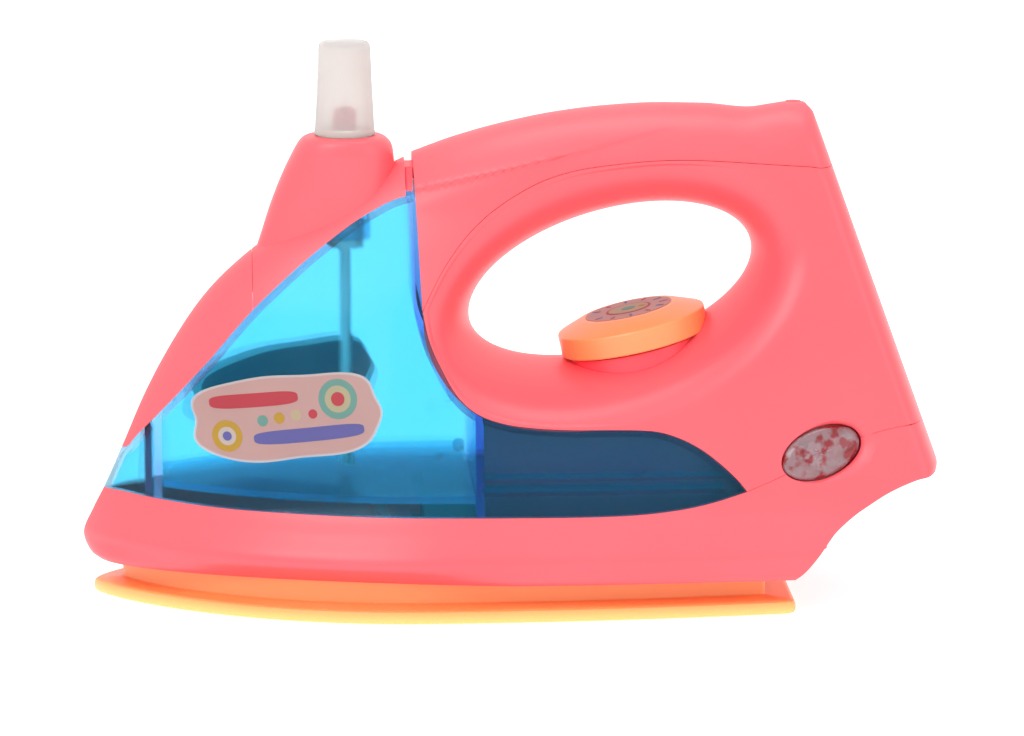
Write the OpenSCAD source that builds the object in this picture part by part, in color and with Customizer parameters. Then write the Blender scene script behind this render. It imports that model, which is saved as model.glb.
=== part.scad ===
// A toy steam iron with a water tank in the nose, a mist pump on top and a turning dial under the grip.
// The nose points along -X and the heel along +X. The sole rests on the table at z = 0.

/* [Overall] */
// Length from the nose to the heel
overall_l = 194; // [180:1:210]
// Width across the widest part of the base
overall_w = 85; // [78:1:92]
// Height of the handle crest above the table
crest_h = 111.8; // [107:0.2:117]
// Height of the base's lower lip above the table
base_lip_h = 8.5; // [7.8:0.1:9]

/* [Shells] */
// Thickness of the pink shells
shell_t = 2; // [1.6:0.1:2.4]
// Thickness of the blue tank shell
tank_t = 1.8; // [1.4:0.1:2.2]
// Gap left at each parting line between two shells
seam_gap = 0.2; // [0.1:0.05:0.4]
// Depth of the rounding at the back of the body
heel_round = 6; // [4:0.5:8]
// Share of its half width that the body loses from the middle to the heel
heel_taper_share = 0.2; // [0.1:0.02:0.3]
// Width of the gap between the sprayer housing and the handle cover
front_gap = 1.7; // [1:0.1:2.5]

/* [Grip opening] */
// Length of the oval grip opening
grip_l = 66.4; // [58:0.4:70]
// Height of the oval grip opening
grip_h = 32.6; // [28:0.2:34]
// Slope of the grip opening, rising to the heel
grip_tilt = 16; // [12:1:20]
// How far the rim of the opening flares at the rim's half width
rim_flare = 9.5; // [6:0.5:12]
// Half width at which that flare is reached
rim_half_w = 26; // [22:0.5:32]

/* [Soleplate] */
// Distance from the back edge of the soleplate to the heel of the base above it
heel_overhang = 33.8; // [28:0.2:40]
// Width of the soleplate flange
sole_w = 80.8; // [74:0.4:82]
// Distance from the nose of the base back to the tip of the sole
sole_setback = 2.3; // [1:0.1:4]
// Thickness of the flange
sole_flange_t = 3.2; // [2.6:0.1:3.8]
// Height of the raised step that fits under the base
sole_step_h = 9.5; // [9.2:0.1:10]
// Distance of the step in from the edge of the flange
sole_step_inset = 6.6; // [5:0.2:8]
// Size of the small chamfers round the flange
sole_chamfer = 0.8; // [0.4:0.1:1.2]
// Clearance between the step and the base that sits over it
sole_fit_gap = 0.25; // [0.15:0.05:0.4]

/* [Batteries] */
// Diameter of one cell
cell_d = 14.3; // [14:0.1:14.5]
// Length of one cell
cell_l = 50.2; // [49.8:0.1:50.5]
// Clearance round each cell
cell_gap = 0.5; // [0.3:0.1:0.8]
// Room for the contact spring at one end of the cells
contact_l = 4; // [3:0.5:6]
// Thickness of the contact plates
contact_t = 0.5; // [0.3:0.1:0.8]
// Distance from the back edge of the soleplate to the middle of the battery case
case_setback = 53.2; // [52:0.2:60]
// Wall of the battery case
case_t = 1.4; // [1:0.1:2]
// Thickness of the battery door
door_t = 1.8; // [1.4:0.1:2.2]
// Clearance round the battery door
door_gap = 0.3; // [0.2:0.05:0.5]

/* [Fasteners] */
// Diameter of a screw's thread
screw_d = 2.6; // [2.2:0.1:3]
// Diameter of a screw's head
screw_head_d = 5; // [4.4:0.1:5.6]
// Thickness of a screw's head
screw_head_t = 1.8; // [1.4:0.1:2.2]
// Length of the screws of the two body halves
body_screw_l = 13; // [10:0.5:16]
// Length of the screws that hold the soleplate
sole_screw_l = 12; // [10:0.5:14]
// Diameter of a screw boss
boss_d = 7; // [6:0.2:8]
// Clearance between a screw and a hole that it passes through
screw_gap = 0.15; // [0.1:0.05:0.3]
// Clearance between a screw and the hole that it bites into
bite_gap = 0.03; // [0.02:0.01:0.05]

/* [Dial] */
// Diameter of the dial
dial_d = 34; // [30:0.5:35]
// Height of the dial's straight rim
dial_rim_h = 5; // [4:0.5:6]
// Height of the dial's slope above the rim
dial_slope_h = 2.3; // [1.5:0.1:3]
// Diameter of the dial's flat top
dial_top_d = 23; // [20:0.5:26]
// Wall of the dial
dial_t = 1.6; // [1.2:0.1:2]
// Slope of the dial's axis towards the nose
dial_tilt = 12.5; // [10:0.5:15]
// Distance from the middle of the grip opening back to the middle of the dial's rim
dial_setback = 5.3; // [2:0.1:8]
// Distance from the middle of the grip opening down to the middle of the dial's rim
dial_drop = 11.6; // [10.4:0.1:11.8]
// Diameter of the printed disc on the dial
dial_disc_d = 20; // [16:0.5:21]
// Diameter of the dial's stem
dial_stem_d = 8; // [6:0.5:9]
// Length of the stem below the dial's rim
dial_stem_l = 14; // [13:0.5:16]
// Radial running clearance of the stem in its bush
dial_fit_gap = 0.05; // [0.03:0.01:0.08]
// Gap between the dial and the bush under it
dial_rise = 0.3; // [0.2:0.05:0.5]
// Diameter of the bush that the dial stands on
bush_d = 31.6; // [28:0.2:32]

/* [Lamps] */
// Length of the oval lamp window
lens_l = 19; // [17:0.2:21]
// Height of the oval lamp window
lens_h = 10.8; // [9.4:0.2:12]
// Thickness of the lens at its edge
lens_t = 1.2; // [0.8:0.1:1.6]
// How far the lens domes out
lens_dome = 1.6; // [1:0.1:2.4]
// Slope of the lamp window, rising to the heel
lens_tilt = 20; // [15:1:25]
// Lean of the lamp window, following the side of the body
lens_lean = 15; // [12:1:18]
// Clearance between the lens and the shells
lens_gap = 0.3; // [0.2:0.05:0.5]
// How far the lens is sunk into the side
lens_sink = 1.4; // [1:0.1:2]
// Depth of the red cup behind the lens
cup_depth = 4.5; // [4:0.5:6]
// Diameter of one lamp
led_d = 5; // [4:0.5:5]

/* [Sprayer] */
// How far the flat top of the sprayer housing lies below the handle crest
turret_drop = 7; // [5.6:0.2:8]
// Width of the sprayer housing just below its top
turret_w = 20; // [18.6:0.2:22]
// How far the foot of the sprayer housing reaches forward of the pump
turret_front = 20; // [18:0.2:22]
// How far the sprayer housing reaches back of the pump
turret_back = 11.5; // [11:0.1:12]
// Diameter of the cap at its foot
cap_d = 13.9; // [13.4:0.1:14.4]
// Diameter of the cap at its top
cap_top_d = 11.6; // [11:0.1:12.2]
// Height of the cap
cap_h = 21.2; // [20:0.2:24]
// Wall of the cap
cap_t = 0.75; // [0.6:0.05:0.85]
// Radial clearance of the cap on its collar
cap_fit_gap = 0.05; // [0.03:0.01:0.08]
// Diameter of the spray button under the cap
button_d = 5.4; // [4.6:0.1:6]
// Height of the spray button
button_h = 5; // [4.4:0.2:5.4]
// Travel of the spray button
button_travel = 3; // [2:0.5:3.5]
// Diameter of the pump's stem
stem_d = 3; // [2.6:0.1:3.4]
// Bore of the pump's cylinder
pump_bore_d = 6; // [5.6:0.1:6.4]
// Outer diameter of the pump's cylinder
pump_d = 8.2; // [7.8:0.1:8.6]
// Length of the pump's cylinder below the top of the neck
pump_l = 20; // [18:0.5:22]
// Radial clearance of the piston and of the stem
pump_fit_gap = 0.05; // [0.03:0.01:0.08]
// Thickness of the piston
piston_t = 3; // [2:0.5:4]
// Diameter of the spring's wire
spring_wire_d = 0.7; // [0.5:0.05:0.9]
// Diameter of the valve ball
ball_d = 3; // [2.6:0.1:3.4]
// Diameter of the dip tube
tube_d = 2.4; // [2:0.1:2.8]
// Wall of the dip tube
tube_t = 0.5; // [0.4:0.05:0.6]
// Gap between the dip tube and the floor of the tank
tube_foot_gap = 1.5; // [1:0.5:4]
// How far the tank's neck ends below the top of the sprayer housing
neck_drop = 5.6; // [5:0.1:6.6]
// Wall of the tank's neck
neck_t = 1.4; // [1.2:0.1:1.6]
// Thickness of the neck's gasket
gasket_t = 0.8; // [0.6:0.1:1]

/* [Electronics] */
// Length of the circuit board
board_l = 30; // [26:1:32]
// Width of the circuit board
board_w = 32; // [28:1:34]
// Thickness of the circuit board
board_t = 1.6; // [1:0.2:2]
// Height of the circuit board above the base's deck
board_rise = 14.5; // [13.5:0.25:16]
// Diameter of the sounder
sounder_d = 17; // [14:0.5:17]
// Thickness of the sounder
sounder_t = 5; // [4:0.5:6]

/* [Labels] */
// Length of the label on each side of the tank
label_l = 42; // [36:1:46]
// Height of the label
label_h = 17; // [14:0.5:18]
// Thickness of the label
label_t = 0.2; // [0.15:0.05:0.3]
// Slope of the label, rising to the heel
label_tilt = 8; // [4:1:10]

/* [Hidden] */

// Overrun of every cut past the face that it opens
over = 1;
half_l = overall_l / 2;
half_w = overall_w / 2;
loft_h = crest_h - base_lip_h;

// Each level of the body: height share, nose reach share, half width share, widest place share,
// heel reach share and the fullness of the nose, from 0.5 for an oval to nearly 1 for a pointed nose
level_shares = [
    [0.000, 0.968, 0.941, -0.103, 1.000, 0.85],
    [0.013, 0.986, 0.972, -0.155, 1.000, 0.80],
    [0.049, 1.000, 1.000, -0.180, 1.000, 0.76],
    [0.104, 0.977, 0.936, -0.175, 1.000, 0.80],
    [0.150, 0.953, 0.861, -0.170, 1.000, 0.86],
    [0.200, 0.929, 0.826, -0.165, 1.000, 0.84],
    [0.225, 0.916, 0.806, -0.160, 1.000, 0.82],
    [0.249, 0.902, 0.786, -0.158, 0.991, 0.80],
    [0.365, 0.845, 0.692, -0.135, 0.947, 0.70],
    [0.491, 0.772, 0.584, -0.103, 0.899, 0.62],
    [0.588, 0.703, 0.504, -0.062, 0.862, 0.55],
    [0.684, 0.595, 0.424, -0.020, 0.825, 0.50],
    [0.781, 0.433, 0.362, 0.020, 0.789, 0.50],
    [0.849, 0.314, 0.336, 0.080, 0.763, 0.50],
    [0.907, 0.186, 0.306, 0.155, 0.741, 0.50],
    [0.955, 0.016, 0.235, 0.300, 0.722, 0.50],
    [0.985, -0.155, 0.153, 0.400, 0.711, 0.50],
    [1.000, -0.371, 0.047, 0.460, 0.705, 0.50]
];
// The height share above which a shell's inner skin also drops away from the crest
crown_share = 0.849;
nose_steps = 9;
side_steps = 3;
heel_steps = 3;
// Smallest half width of an inner skin
thin_w = 0.4;
// Squareness of the rounding at the heel
heel_power = 2 / 3;

// A height and a place along the body from its share
function level_z(share) = base_lip_h + share * loft_h;
function along(share) = share * half_l;
function place(shares) = [for (s = shares) [along(s[0]), level_z(s[1])]];

// Places along the body and above its lip that other pieces follow
grip_x_share = 0.2392;
grip_z_share = 0.6050;
lens_x_share = 0.7113;
lens_z_share = 0.2643;
pump_x_share = 0.3814;
board_x_share = 0.5980;
label_x_share = 0.5258;
label_z_share = 0.3456;
grip_x = along(grip_x_share);
grip_z = level_z(grip_z_share);
dial_x = grip_x + dial_setback;
dial_z = grip_z - dial_drop;
lens_x = along(lens_x_share);
lens_z = level_z(lens_z_share);
pump_x = along(pump_x_share);
board_x = along(board_x_share);
label_x = along(label_x_share);
label_z = level_z(label_z_share);

// One side of the body's outline at a level, inset by t
function side_points(level, t) =
    let (nose = -along(level[1]) + t,
         heel = along(level[4]) - t,
         wide = max(level[2] * half_w - t, thin_w),
         mid = along(level[3]),
         reach = heel - heel_round - mid,
         back = wide * (1 - heel_taper_share * pow(reach / (heel - mid), 2)))
    concat(
        [for (k = [0 : nose_steps])
            let (a = 90 * k / nose_steps) [mid - (mid - nose) * cos(a), wide * pow(sin(a), 2 * level[5])]],
        [for (k = [1 : side_steps])
            let (x = mid + reach * k / side_steps)
            [x, wide * (1 - heel_taper_share * pow((x - mid) / (heel - mid), 2))]],
        [for (k = [1 : heel_steps])
            let (a = 90 * k / heel_steps)
            [heel - heel_round + heel_round * pow(sin(a), heel_power), back * pow(max(cos(a), 0), heel_power)]]);

// The whole outline at a level, inset by t
function outline(level, t) =
    let (side = side_points(level, t), n = len(side))
    concat(side, [for (k = [n - 2 : -1 : 1]) [side[k][0], -side[k][1]]]);

function skin_z(level, t) =
    level_z(level[0]) - t * max(0, (level[0] - crown_share) / (1 - crown_share));
function skin(t) =
    [for (level = level_shares) [for (p = outline(level, t)) [p[0], p[1], skin_z(level, t)]]];

function prism_faces(n) = concat(
    [[for (i = [0 : n - 1]) i]],
    [[for (i = [n - 1 : -1 : 0]) n + i]],
    [for (i = [0 : n - 1]) [i, n + i, n + (i + 1) % n, (i + 1) % n]]);

module loft(rings) {
    for (i = [0 : len(rings) - 2])
        hull() polyhedron(points = concat(rings[i], rings[i + 1]), faces = prism_faces(len(rings[i])));
}

module body_solid(inset = 0) loft(skin(inset));

// Half width of the body at a place and a height
wide_table = [for (l = level_shares) [level_z(l[0]), l[2] * half_w]];
nose_table = [for (l = level_shares) [level_z(l[0]), -along(l[1])]];
mid_table = [for (l = level_shares) [level_z(l[0]), along(l[3])]];
heel_table = [for (l = level_shares) [level_z(l[0]), along(l[4])]];
nose_power_table = [for (l = level_shares) [level_z(l[0]), l[5]]];
function half_width(x, z) =
    let (wide = lookup(z, wide_table), nose = lookup(z, nose_table), mid = lookup(z, mid_table),
         heel = lookup(z, heel_table),
         fore = max(0, min(1, (mid - x) / (mid - nose))),
         aft = max(0, (x - mid) / (heel - mid)))
    wide * pow(1 - fore * fore, lookup(z, nose_power_table)) * (1 - heel_taper_share * aft * aft);

// Draws a side view outline as a slab right across the body
module across() {
    translate([0, overall_w, 0]) rotate([90, 0, 0]) linear_extrude(height = 2 * overall_w) children();
}

// The parting lines in the side view
window_edge = place([
    [0.536, 0.189], [0.512, 0.212], [0.474, 0.249], [0.429, 0.280], [0.377, 0.306], [0.320, 0.321],
    [0.134, 0.324], [0.041, 0.330], [-0.031, 0.341], [-0.090, 0.362], [-0.134, 0.394], [-0.171, 0.448],
    [-0.196, 0.510], [-0.208, 0.569]]);
// The short top of that edge, in front of the handle cover
cover_foot = place([[-0.222, 0.704]]);
strip_edge_share = 0.814;
strip_edge = place([
    [-0.236, 0.814], [-0.271, 0.802], [-0.370, 0.749], [-0.480, 0.669], [-0.596, 0.568],
    [-0.696, 0.459], [-0.811, 0.333], [-0.873, 0.272], [-0.905, 0.241], [-1.050, 0.241]]);
cover_edge = place([
    [-0.206, 0.579], [-0.165, 0.651], [-0.116, 0.717], [-0.069, 0.763], [-0.022, 0.797],
    [0.027, 0.826], [0.073, 0.847], [0.123, 0.864], [0.186, 0.876], [0.278, 0.885], [0.412, 0.888],
    [0.608, 0.878], [1.050, 0.868]]);
// The part of the base's parting line that runs under the tank's window, then the part up to the heel
tank_foot = place([[-1.050, 0.146], [0.155, 0.144], [0.289, 0.146], [0.392, 0.156], [0.464, 0.169]]);
heel_seam = place([[1.050, 0.321], [0.887, 0.317], [0.820, 0.302], [0.711, 0.264], [0.611, 0.218]]);
heel_under = place([
    [1.050, 0.226], [0.995, 0.222], [0.982, 0.213], [0.964, 0.207], [0.931, 0.200], [0.871, 0.178],
    [0.812, 0.147], [0.753, 0.109], [0.724, 0.080], [0.694, 0.046], [0.671, 0.021], [0.646, 0.000],
    [0.620, -0.020], [-1.050, -0.020]]);
cover_front_share = -0.225;
cover_front_x = along(cover_front_share);
turret_back_x = cover_front_x - front_gap;
strip_seam_share = -0.600;
strip_seam_x = along(strip_seam_share);
sky_room = 4;
sky_z = crest_h + sky_room;

module inside_seams() offset(delta = -seam_gap / 2) children();
module window_area() polygon(concat(tank_foot, window_edge, cover_foot, strip_edge));
module strip_area() polygon(concat(strip_edge, [[-half_l - over, sky_z], [turret_back_x, sky_z]]));
module cover_area() polygon(concat(
    [[cover_front_x, sky_z], [cover_front_x, level_z(strip_edge_share)]],
    cover_foot, [window_edge[len(window_edge) - 1]], cover_edge, [[half_l + over, sky_z]]));
module body_area() polygon(concat(window_edge, cover_edge, heel_seam));
module base_area() polygon(concat(
    heel_under, tank_foot, [window_edge[0]], [for (i = [len(heel_seam) - 1 : -1 : 0]) heel_seam[i]]));

// The grip opening, an oval hole whose rim flares towards both sides
rim_steps = 7;
oval_steps = 36;
function rim_points(y, grow) =
    let (flare = rim_flare * pow(y / rim_half_w, 2) + grow,
         a = grip_l / 2 + flare, b = grip_h / 2 + flare)
    [for (k = [0 : oval_steps - 1])
        let (t = 360 * k / oval_steps, u = a * cos(t), v = b * sin(t))
        [grip_x + u * cos(grip_tilt) - v * sin(grip_tilt), y,
         grip_z + u * sin(grip_tilt) + v * cos(grip_tilt)]];
module grip_opening(grow = 0) {
    loft([for (k = [-rim_steps : rim_steps]) rim_points(half_w * k / rim_steps, grow)]);
}

// Places of the screws that join the two body halves
body_screw_places = place([[-0.062, 0.426], [0.640, 0.395], [0.835, 0.426], [0.735, 0.798]]);
// How far the seat of each screw's head lies from the middle plane
screw_seat_y = 6;
// Room round a screw's head, and beyond the tip of a screw in its hole
screw_head_gap = 0.3;
screw_tip_room = 2;

module at_body_screws() for (p = body_screw_places) translate([p[0], 0, p[1]]) children();

module body_half(side) {
    difference() {
        intersection() {
            union() {
                difference() {
                    body_solid();
                    difference() {
                        body_solid(shell_t);
                        grip_opening(shell_t);
                    }
                }
                intersection() {
                    body_solid(shell_t / 2);
                    at_body_screws() rotate([-90 * side, 0, 0]) cylinder(d = boss_d, h = half_w, $fn = 24);
                }
            }
            across() inside_seams() body_area();
            translate([-half_l, side > 0 ? 0 : -half_w, 0]) cube([overall_l, half_w, crest_h]);
        }
        grip_opening();
        dial_hole();
        lamp_hole(side);
        if (side > 0) {
            at_body_screws() rotate([-90, 0, 0]) translate([0, 0, -over])
                cylinder(d = screw_d + 2 * screw_gap, h = half_w, $fn = 20);
            at_body_screws() rotate([-90, 0, 0]) translate([0, 0, screw_seat_y])
                cylinder(d = screw_head_d + 2 * screw_head_gap, h = half_w, $fn = 24);
        } else {
            at_body_screws() rotate([90, 0, 0]) translate([0, 0, -over])
                cylinder(d = screw_d + 2 * bite_gap, h = over + body_screw_l - screw_seat_y + screw_tip_room, $fn = 20);
        }
    }
}

module body_left() color([1.0, 0.45, 0.49]) body_half(-1);
module body_right() color([1.0, 0.45, 0.49]) body_half(1);

module screw(length) {
    cylinder(d = screw_d, h = length);
    translate([0, 0, length]) cylinder(d = screw_head_d, h = screw_head_t);
}

module body_screws() color([0.75, 0.76, 0.78]) {
    at_body_screws() translate([0, screw_seat_y - body_screw_l, 0]) rotate([-90, 0, 0]) screw(body_screw_l);
}

// The tongue that bridges the gap in front of the handle cover
tongue_w = 10;
tongue_t = 2.4;
tongue_l = 3;
tongue_gap = 0.3;
tongue_z_share = 0.867;
tongue_hole_d = 1.2;
module cover_tongue(grow = 0) {
    translate([cover_front_x - tongue_l - grow, -tongue_w / 2 - grow, level_z(tongue_z_share) - tongue_t - grow])
        cube([tongue_l + 2 * shell_t + grow, tongue_w + 2 * grow, tongue_t + 2 * grow]);
    translate([cover_front_x + seam_gap, -tongue_w / 2, level_z(tongue_z_share) - tongue_t])
        cube([2 * shell_t - seam_gap, tongue_w, 2 * tongue_t]);
}

module handle_cover() color([1.0, 0.47, 0.51]) {
    difference() {
        union() {
            intersection() {
                difference() {
                    body_solid();
                    body_solid(shell_t);
                }
                across() inside_seams() cover_area();
            }
            intersection() {
                body_solid(shell_t / 2);
                cover_tongue();
            }
        }
        translate([cover_front_x - front_gap / 2, 0, 0]) cylinder(d = tongue_hole_d, h = crest_h, $fn = 16);
    }
}

module nose_cover() color([1.0, 0.49, 0.53]) {
    intersection() {
        difference() {
            body_solid();
            body_solid(shell_t);
        }
        across() inside_seams() intersection() {
            strip_area();
            translate([-overall_l + strip_seam_x, 0]) square([overall_l, sky_z]);
        }
    }
}

// The sprayer housing, lofted through ovals
// Each oval: depth share under the top, forward share, backward share and half width share
turret_level_shares = [
    [0.000, 0.380, 0.660, 0.760], [0.027, 0.480, 0.790, 0.920], [0.054, 0.530, 0.880, 0.970],
    [0.125, 0.610, 0.965, 0.970], [0.325, 0.730, 0.985, 0.910], [0.565, 0.860, 1.000, 0.810],
    [0.860, 1.000, 1.010, 0.760], [1.000, 1.050, 1.010, 0.720]];
// The depth share over which a shell's inner skin also drops away from the flat top
turret_crown_share = 0.125;
turret_depth_share = 0.287;
turret_depth = turret_depth_share * loft_h;
turret_h = crest_h - turret_drop;
oval_points = 32;
function turret_ring(l, t) =
    [for (k = [0 : oval_points - 1])
        let (a = 360 * k / oval_points, c = cos(a),
             reach = (c > 0 ? l[2] * turret_back : l[1] * turret_front) - t)
        [-pump_x + reach * c, (l[3] * turret_w / 2 - t) * sin(a),
         turret_h - l[0] * turret_depth - t * max(0, 1 - l[0] / turret_crown_share)]];
module turret_solid(inset = 0) loft([for (l = turret_level_shares) turret_ring(l, inset)]);

// The pump's own heights and diameters, from the neck up
neck_gap = 0.3;
neck_bore_d = pump_d + 2 * neck_gap;
neck_d = neck_bore_d + 2 * neck_t;
neck_foot_share = 0.704;
neck_foot_z = level_z(neck_foot_share);
neck_h = turret_h - neck_drop;
pump_foot_z = neck_h - pump_l;
flange_z = neck_h + gasket_t;
flange_t = 1.2;
collar_plate_z = flange_z + flange_t;
collar_plate_t = 1.4;
collar_t = 1.1;
collar_skirt_h = 3.5;
collar_skirt_gap = 0.1;
collar_top_d = cap_d - 2 * cap_t - 2 * cap_fit_gap;
collar_stand = 1.6;
collar_top_z = turret_h + collar_stand;
collar_hole_gap = 0.3;
guide_d = button_d + 2 * pump_fit_gap;
guide_depth = 0.3;
button_z = collar_top_z - guide_depth;
stem_bore_d = stem_d + 2 * pump_fit_gap;
valve_seat_h = 2.5;
valve_play = 1;
valve_bore_d = ball_d + valve_play;
valve_z = pump_foot_z + valve_seat_h;
spring_z = valve_z + ball_d + valve_play;
piston_z = collar_plate_z - piston_t - button_travel;
fine = 64;

module at_pump(z) translate([-pump_x, 0, z]) children();
module ring(outer_d, inner_d, h) difference() {
    cylinder(d = outer_d, h = h, $fn = fine);
    translate([0, 0, -over]) cylinder(d = inner_d, h = h + 2 * over, $fn = fine);
}

module spray_turret() color([1.0, 0.47, 0.51]) {
    difference() {
        intersection() {
            union() {
                body_solid();
                turret_solid();
            }
            across() inside_seams() intersection() {
                strip_area();
                translate([strip_seam_x, 0]) square([overall_l, sky_z]);
            }
        }
        body_solid(shell_t);
        turret_solid(shell_t);
        cover_tongue(tongue_gap);
        at_pump(turret_h - 2 * shell_t)
            cylinder(d = collar_top_d + 2 * collar_hole_gap, h = 2 * shell_t + over, $fn = 48);
    }
}

// The blue tank: a hollow nose with a flat roof under the strip and a bulkhead behind the water
bulkhead_share = -0.072;
front_wall_share = -0.814;
bulkhead_x = along(bulkhead_share);
front_wall_x = along(front_wall_share);
tank_foot_z = tank_foot[0][1];
ledge_w = 4;
hollow_drop = 6;
module window_hollow() {
    for (drop = [0, hollow_drop]) translate([0, -drop]) offset(delta = -tank_t - seam_gap / 2) window_area();
}
module tank_hollow() {
    difference() {
        intersection() {
            body_solid(tank_t);
            across() window_hollow();
        }
        for (x = [bulkhead_x, front_wall_x])
            translate([x - tank_t, -half_w, 0]) cube([tank_t, overall_w, crest_h]);
        at_pump(neck_foot_z) cylinder(d = neck_d, h = neck_h, $fn = 48);
    }
}
module tank_shell() color([0.25, 0.75, 0.95, 0.5]) {
    difference() {
        union() {
            intersection() {
                body_solid();
                across() inside_seams() window_area();
            }
            at_pump(neck_foot_z) cylinder(d = neck_d, h = neck_h - neck_foot_z, $fn = 48);
        }
        tank_hollow();
        intersection() {
            body_solid(tank_t + ledge_w);
            translate([bulkhead_x, -half_w, 0]) cube([half_l, overall_w, crest_h]);
        }
        at_pump(min(pump_foot_z, neck_foot_z) - over) cylinder(d = neck_bore_d, h = neck_h, $fn = 48);
    }
}

// The floor of the water chamber, a flat plate cemented in between the front wall and the bulkhead
floor_level = level_shares[5];
floor_t = 1.6;
floor_gap = 0.25;
floor_rise = 2.4;
floor_z = tank_foot_z + floor_rise;
module tank_floor() color([0.25, 0.72, 0.92, 0.6]) {
    translate([0, 0, floor_z]) linear_extrude(height = floor_t) intersection() {
        polygon(outline(floor_level, tank_t + floor_gap));
        translate([front_wall_x + floor_gap, -half_w])
            square([bulkhead_x - tank_t - front_wall_x - 2 * floor_gap, overall_w]);
    }
}

// The sole: one outline at several insets
sole_tip_x = -half_l + sole_setback;
sole_l = overall_l - sole_setback - heel_overhang;
sole_nose_share = 0.473;
sole_nose_power = 0.76;
sole_back_share = 0.83;
sole_corner_share = 0.06;
sole_steps = 14;
function sole_side(t) =
    let (tip = sole_tip_x + t, heel = sole_tip_x + sole_l - t, wide = sole_w / 2 - t,
         mid = sole_tip_x + sole_nose_share * sole_l, corner = sole_corner_share * sole_w / 2)
    concat(
        [for (k = [0 : sole_steps])
            let (a = 90 * k / sole_steps) [mid - (mid - tip) * cos(a), wide * pow(sin(a), 2 * sole_nose_power)]],
        [for (k = [1 : side_steps])
            let (x = mid + (heel - corner - mid) * k / side_steps)
            [x, wide * (1 - (1 - sole_back_share) * pow((x - mid) / (heel - mid), 2))]],
        [[heel, wide * sole_back_share - corner]]);
module sole_outline(t = 0) {
    side = sole_side(t);
    n = len(side);
    polygon(concat(side, [for (k = [n - 1 : -1 : 1]) [side[k][0], -side[k][1]]]));
}

// The battery case and everything that follows its size
case_x = sole_tip_x + sole_l - case_setback;
case_l = cell_l + 2 * cell_gap + contact_l + 2 * contact_t + 2 * case_t;
case_w = 2 * cell_d + 3 * cell_gap + 2 * case_t;
cell_z = door_t + cell_gap / 2 + cell_d / 2;
case_top_z = cell_z + cell_d / 2 + cell_gap + case_t;
case_fit_gap = 0.3;
case_flange_w = 2;
door_margin = 3;
door_tab_l = 8;
door_tab_w = 9;
door_head_t = 1;
door_screw_l = 5;
base_floor_z = sole_step_h + sole_fit_gap;
base_deck_z = base_floor_z + shell_t;
// Places of the screws that hold the soleplate: length and width shares
sole_screw_shares = [[-0.62, 0], [-0.29, 0.58], [-0.29, -0.58], [0.54, 0.44], [0.54, -0.44]];
screw_head_sink = 0.2;
sole_seat_z = screw_head_sink + screw_head_t;
door_seat_z = screw_head_sink + door_head_t;
module at_sole_screws() for (s = sole_screw_shares) translate([s[0] * half_l, s[1] * half_w, 0]) children();
module at_door_screw(z = 0)
    translate([case_x + case_l / 2 + door_margin + door_tab_l / 2, 0, z]) children();
module case_block(grow, h) {
    translate([case_x - case_l / 2 - grow, -case_w / 2 - grow, 0])
        cube([case_l + 2 * grow, case_w + 2 * grow, h]);
}
module door_block(grow, h) {
    case_block(door_margin + grow, h);
    translate([case_x + case_l / 2, -door_tab_w / 2 - grow, 0])
        cube([door_margin + door_tab_l + grow, door_tab_w + 2 * grow, h]);
}

module soleplate() color([0.98, 0.67, 0.38]) {
    difference() {
        union() {
            linear_extrude(height = sole_chamfer) sole_outline(sole_chamfer);
            translate([0, 0, sole_chamfer]) linear_extrude(height = sole_flange_t - 2 * sole_chamfer)
                sole_outline();
            translate([0, 0, sole_flange_t - sole_chamfer]) linear_extrude(height = sole_chamfer)
                sole_outline(sole_chamfer);
            difference() {
                linear_extrude(height = sole_step_h) sole_outline(sole_step_inset);
                translate([0, 0, sole_flange_t]) linear_extrude(height = sole_step_h)
                    sole_outline(sole_step_inset + shell_t);
            }
            at_sole_screws() cylinder(d = boss_d, h = sole_step_h, $fn = fine);
            at_door_screw() cylinder(d = boss_d, h = sole_step_h, $fn = fine);
            case_block(shell_t, sole_step_h);
        }
        translate([0, 0, -over]) case_block(case_fit_gap, sole_step_h + 2 * over);
        translate([0, 0, -over]) door_block(door_gap, door_t + door_gap + over);
        at_door_screw() cylinder(d = screw_d + 2 * bite_gap, h = door_seat_z + door_screw_l, $fn = fine);
        at_sole_screws() translate([0, 0, -over]) cylinder(d = screw_d + 2 * screw_gap, h = crest_h, $fn = fine);
        at_sole_screws() translate([0, 0, -over])
            cylinder(d = screw_head_d + 2 * screw_head_gap, h = sole_seat_z + over, $fn = fine);
    }
}

module sole_screws() color([0.75, 0.76, 0.78]) {
    at_sole_screws() translate([0, 0, sole_seat_z + sole_screw_l]) mirror([0, 0, 1]) screw(sole_screw_l);
}

// The circuit board stands on four posts of the base
post_d = 4.6;
board_z = base_deck_z + board_rise;
board_inset = 3;
board_screw_l = 6;
board_screw_d = 1.8;
board_head_d = 3.4;
board_head_t = 1.2;
module at_board_posts() {
    for (x = [-1, 1], y = [-1, 1])
        translate([board_x + x * (board_l / 2 - board_inset), y * (board_w / 2 - board_inset), 0]) children();
}

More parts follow.
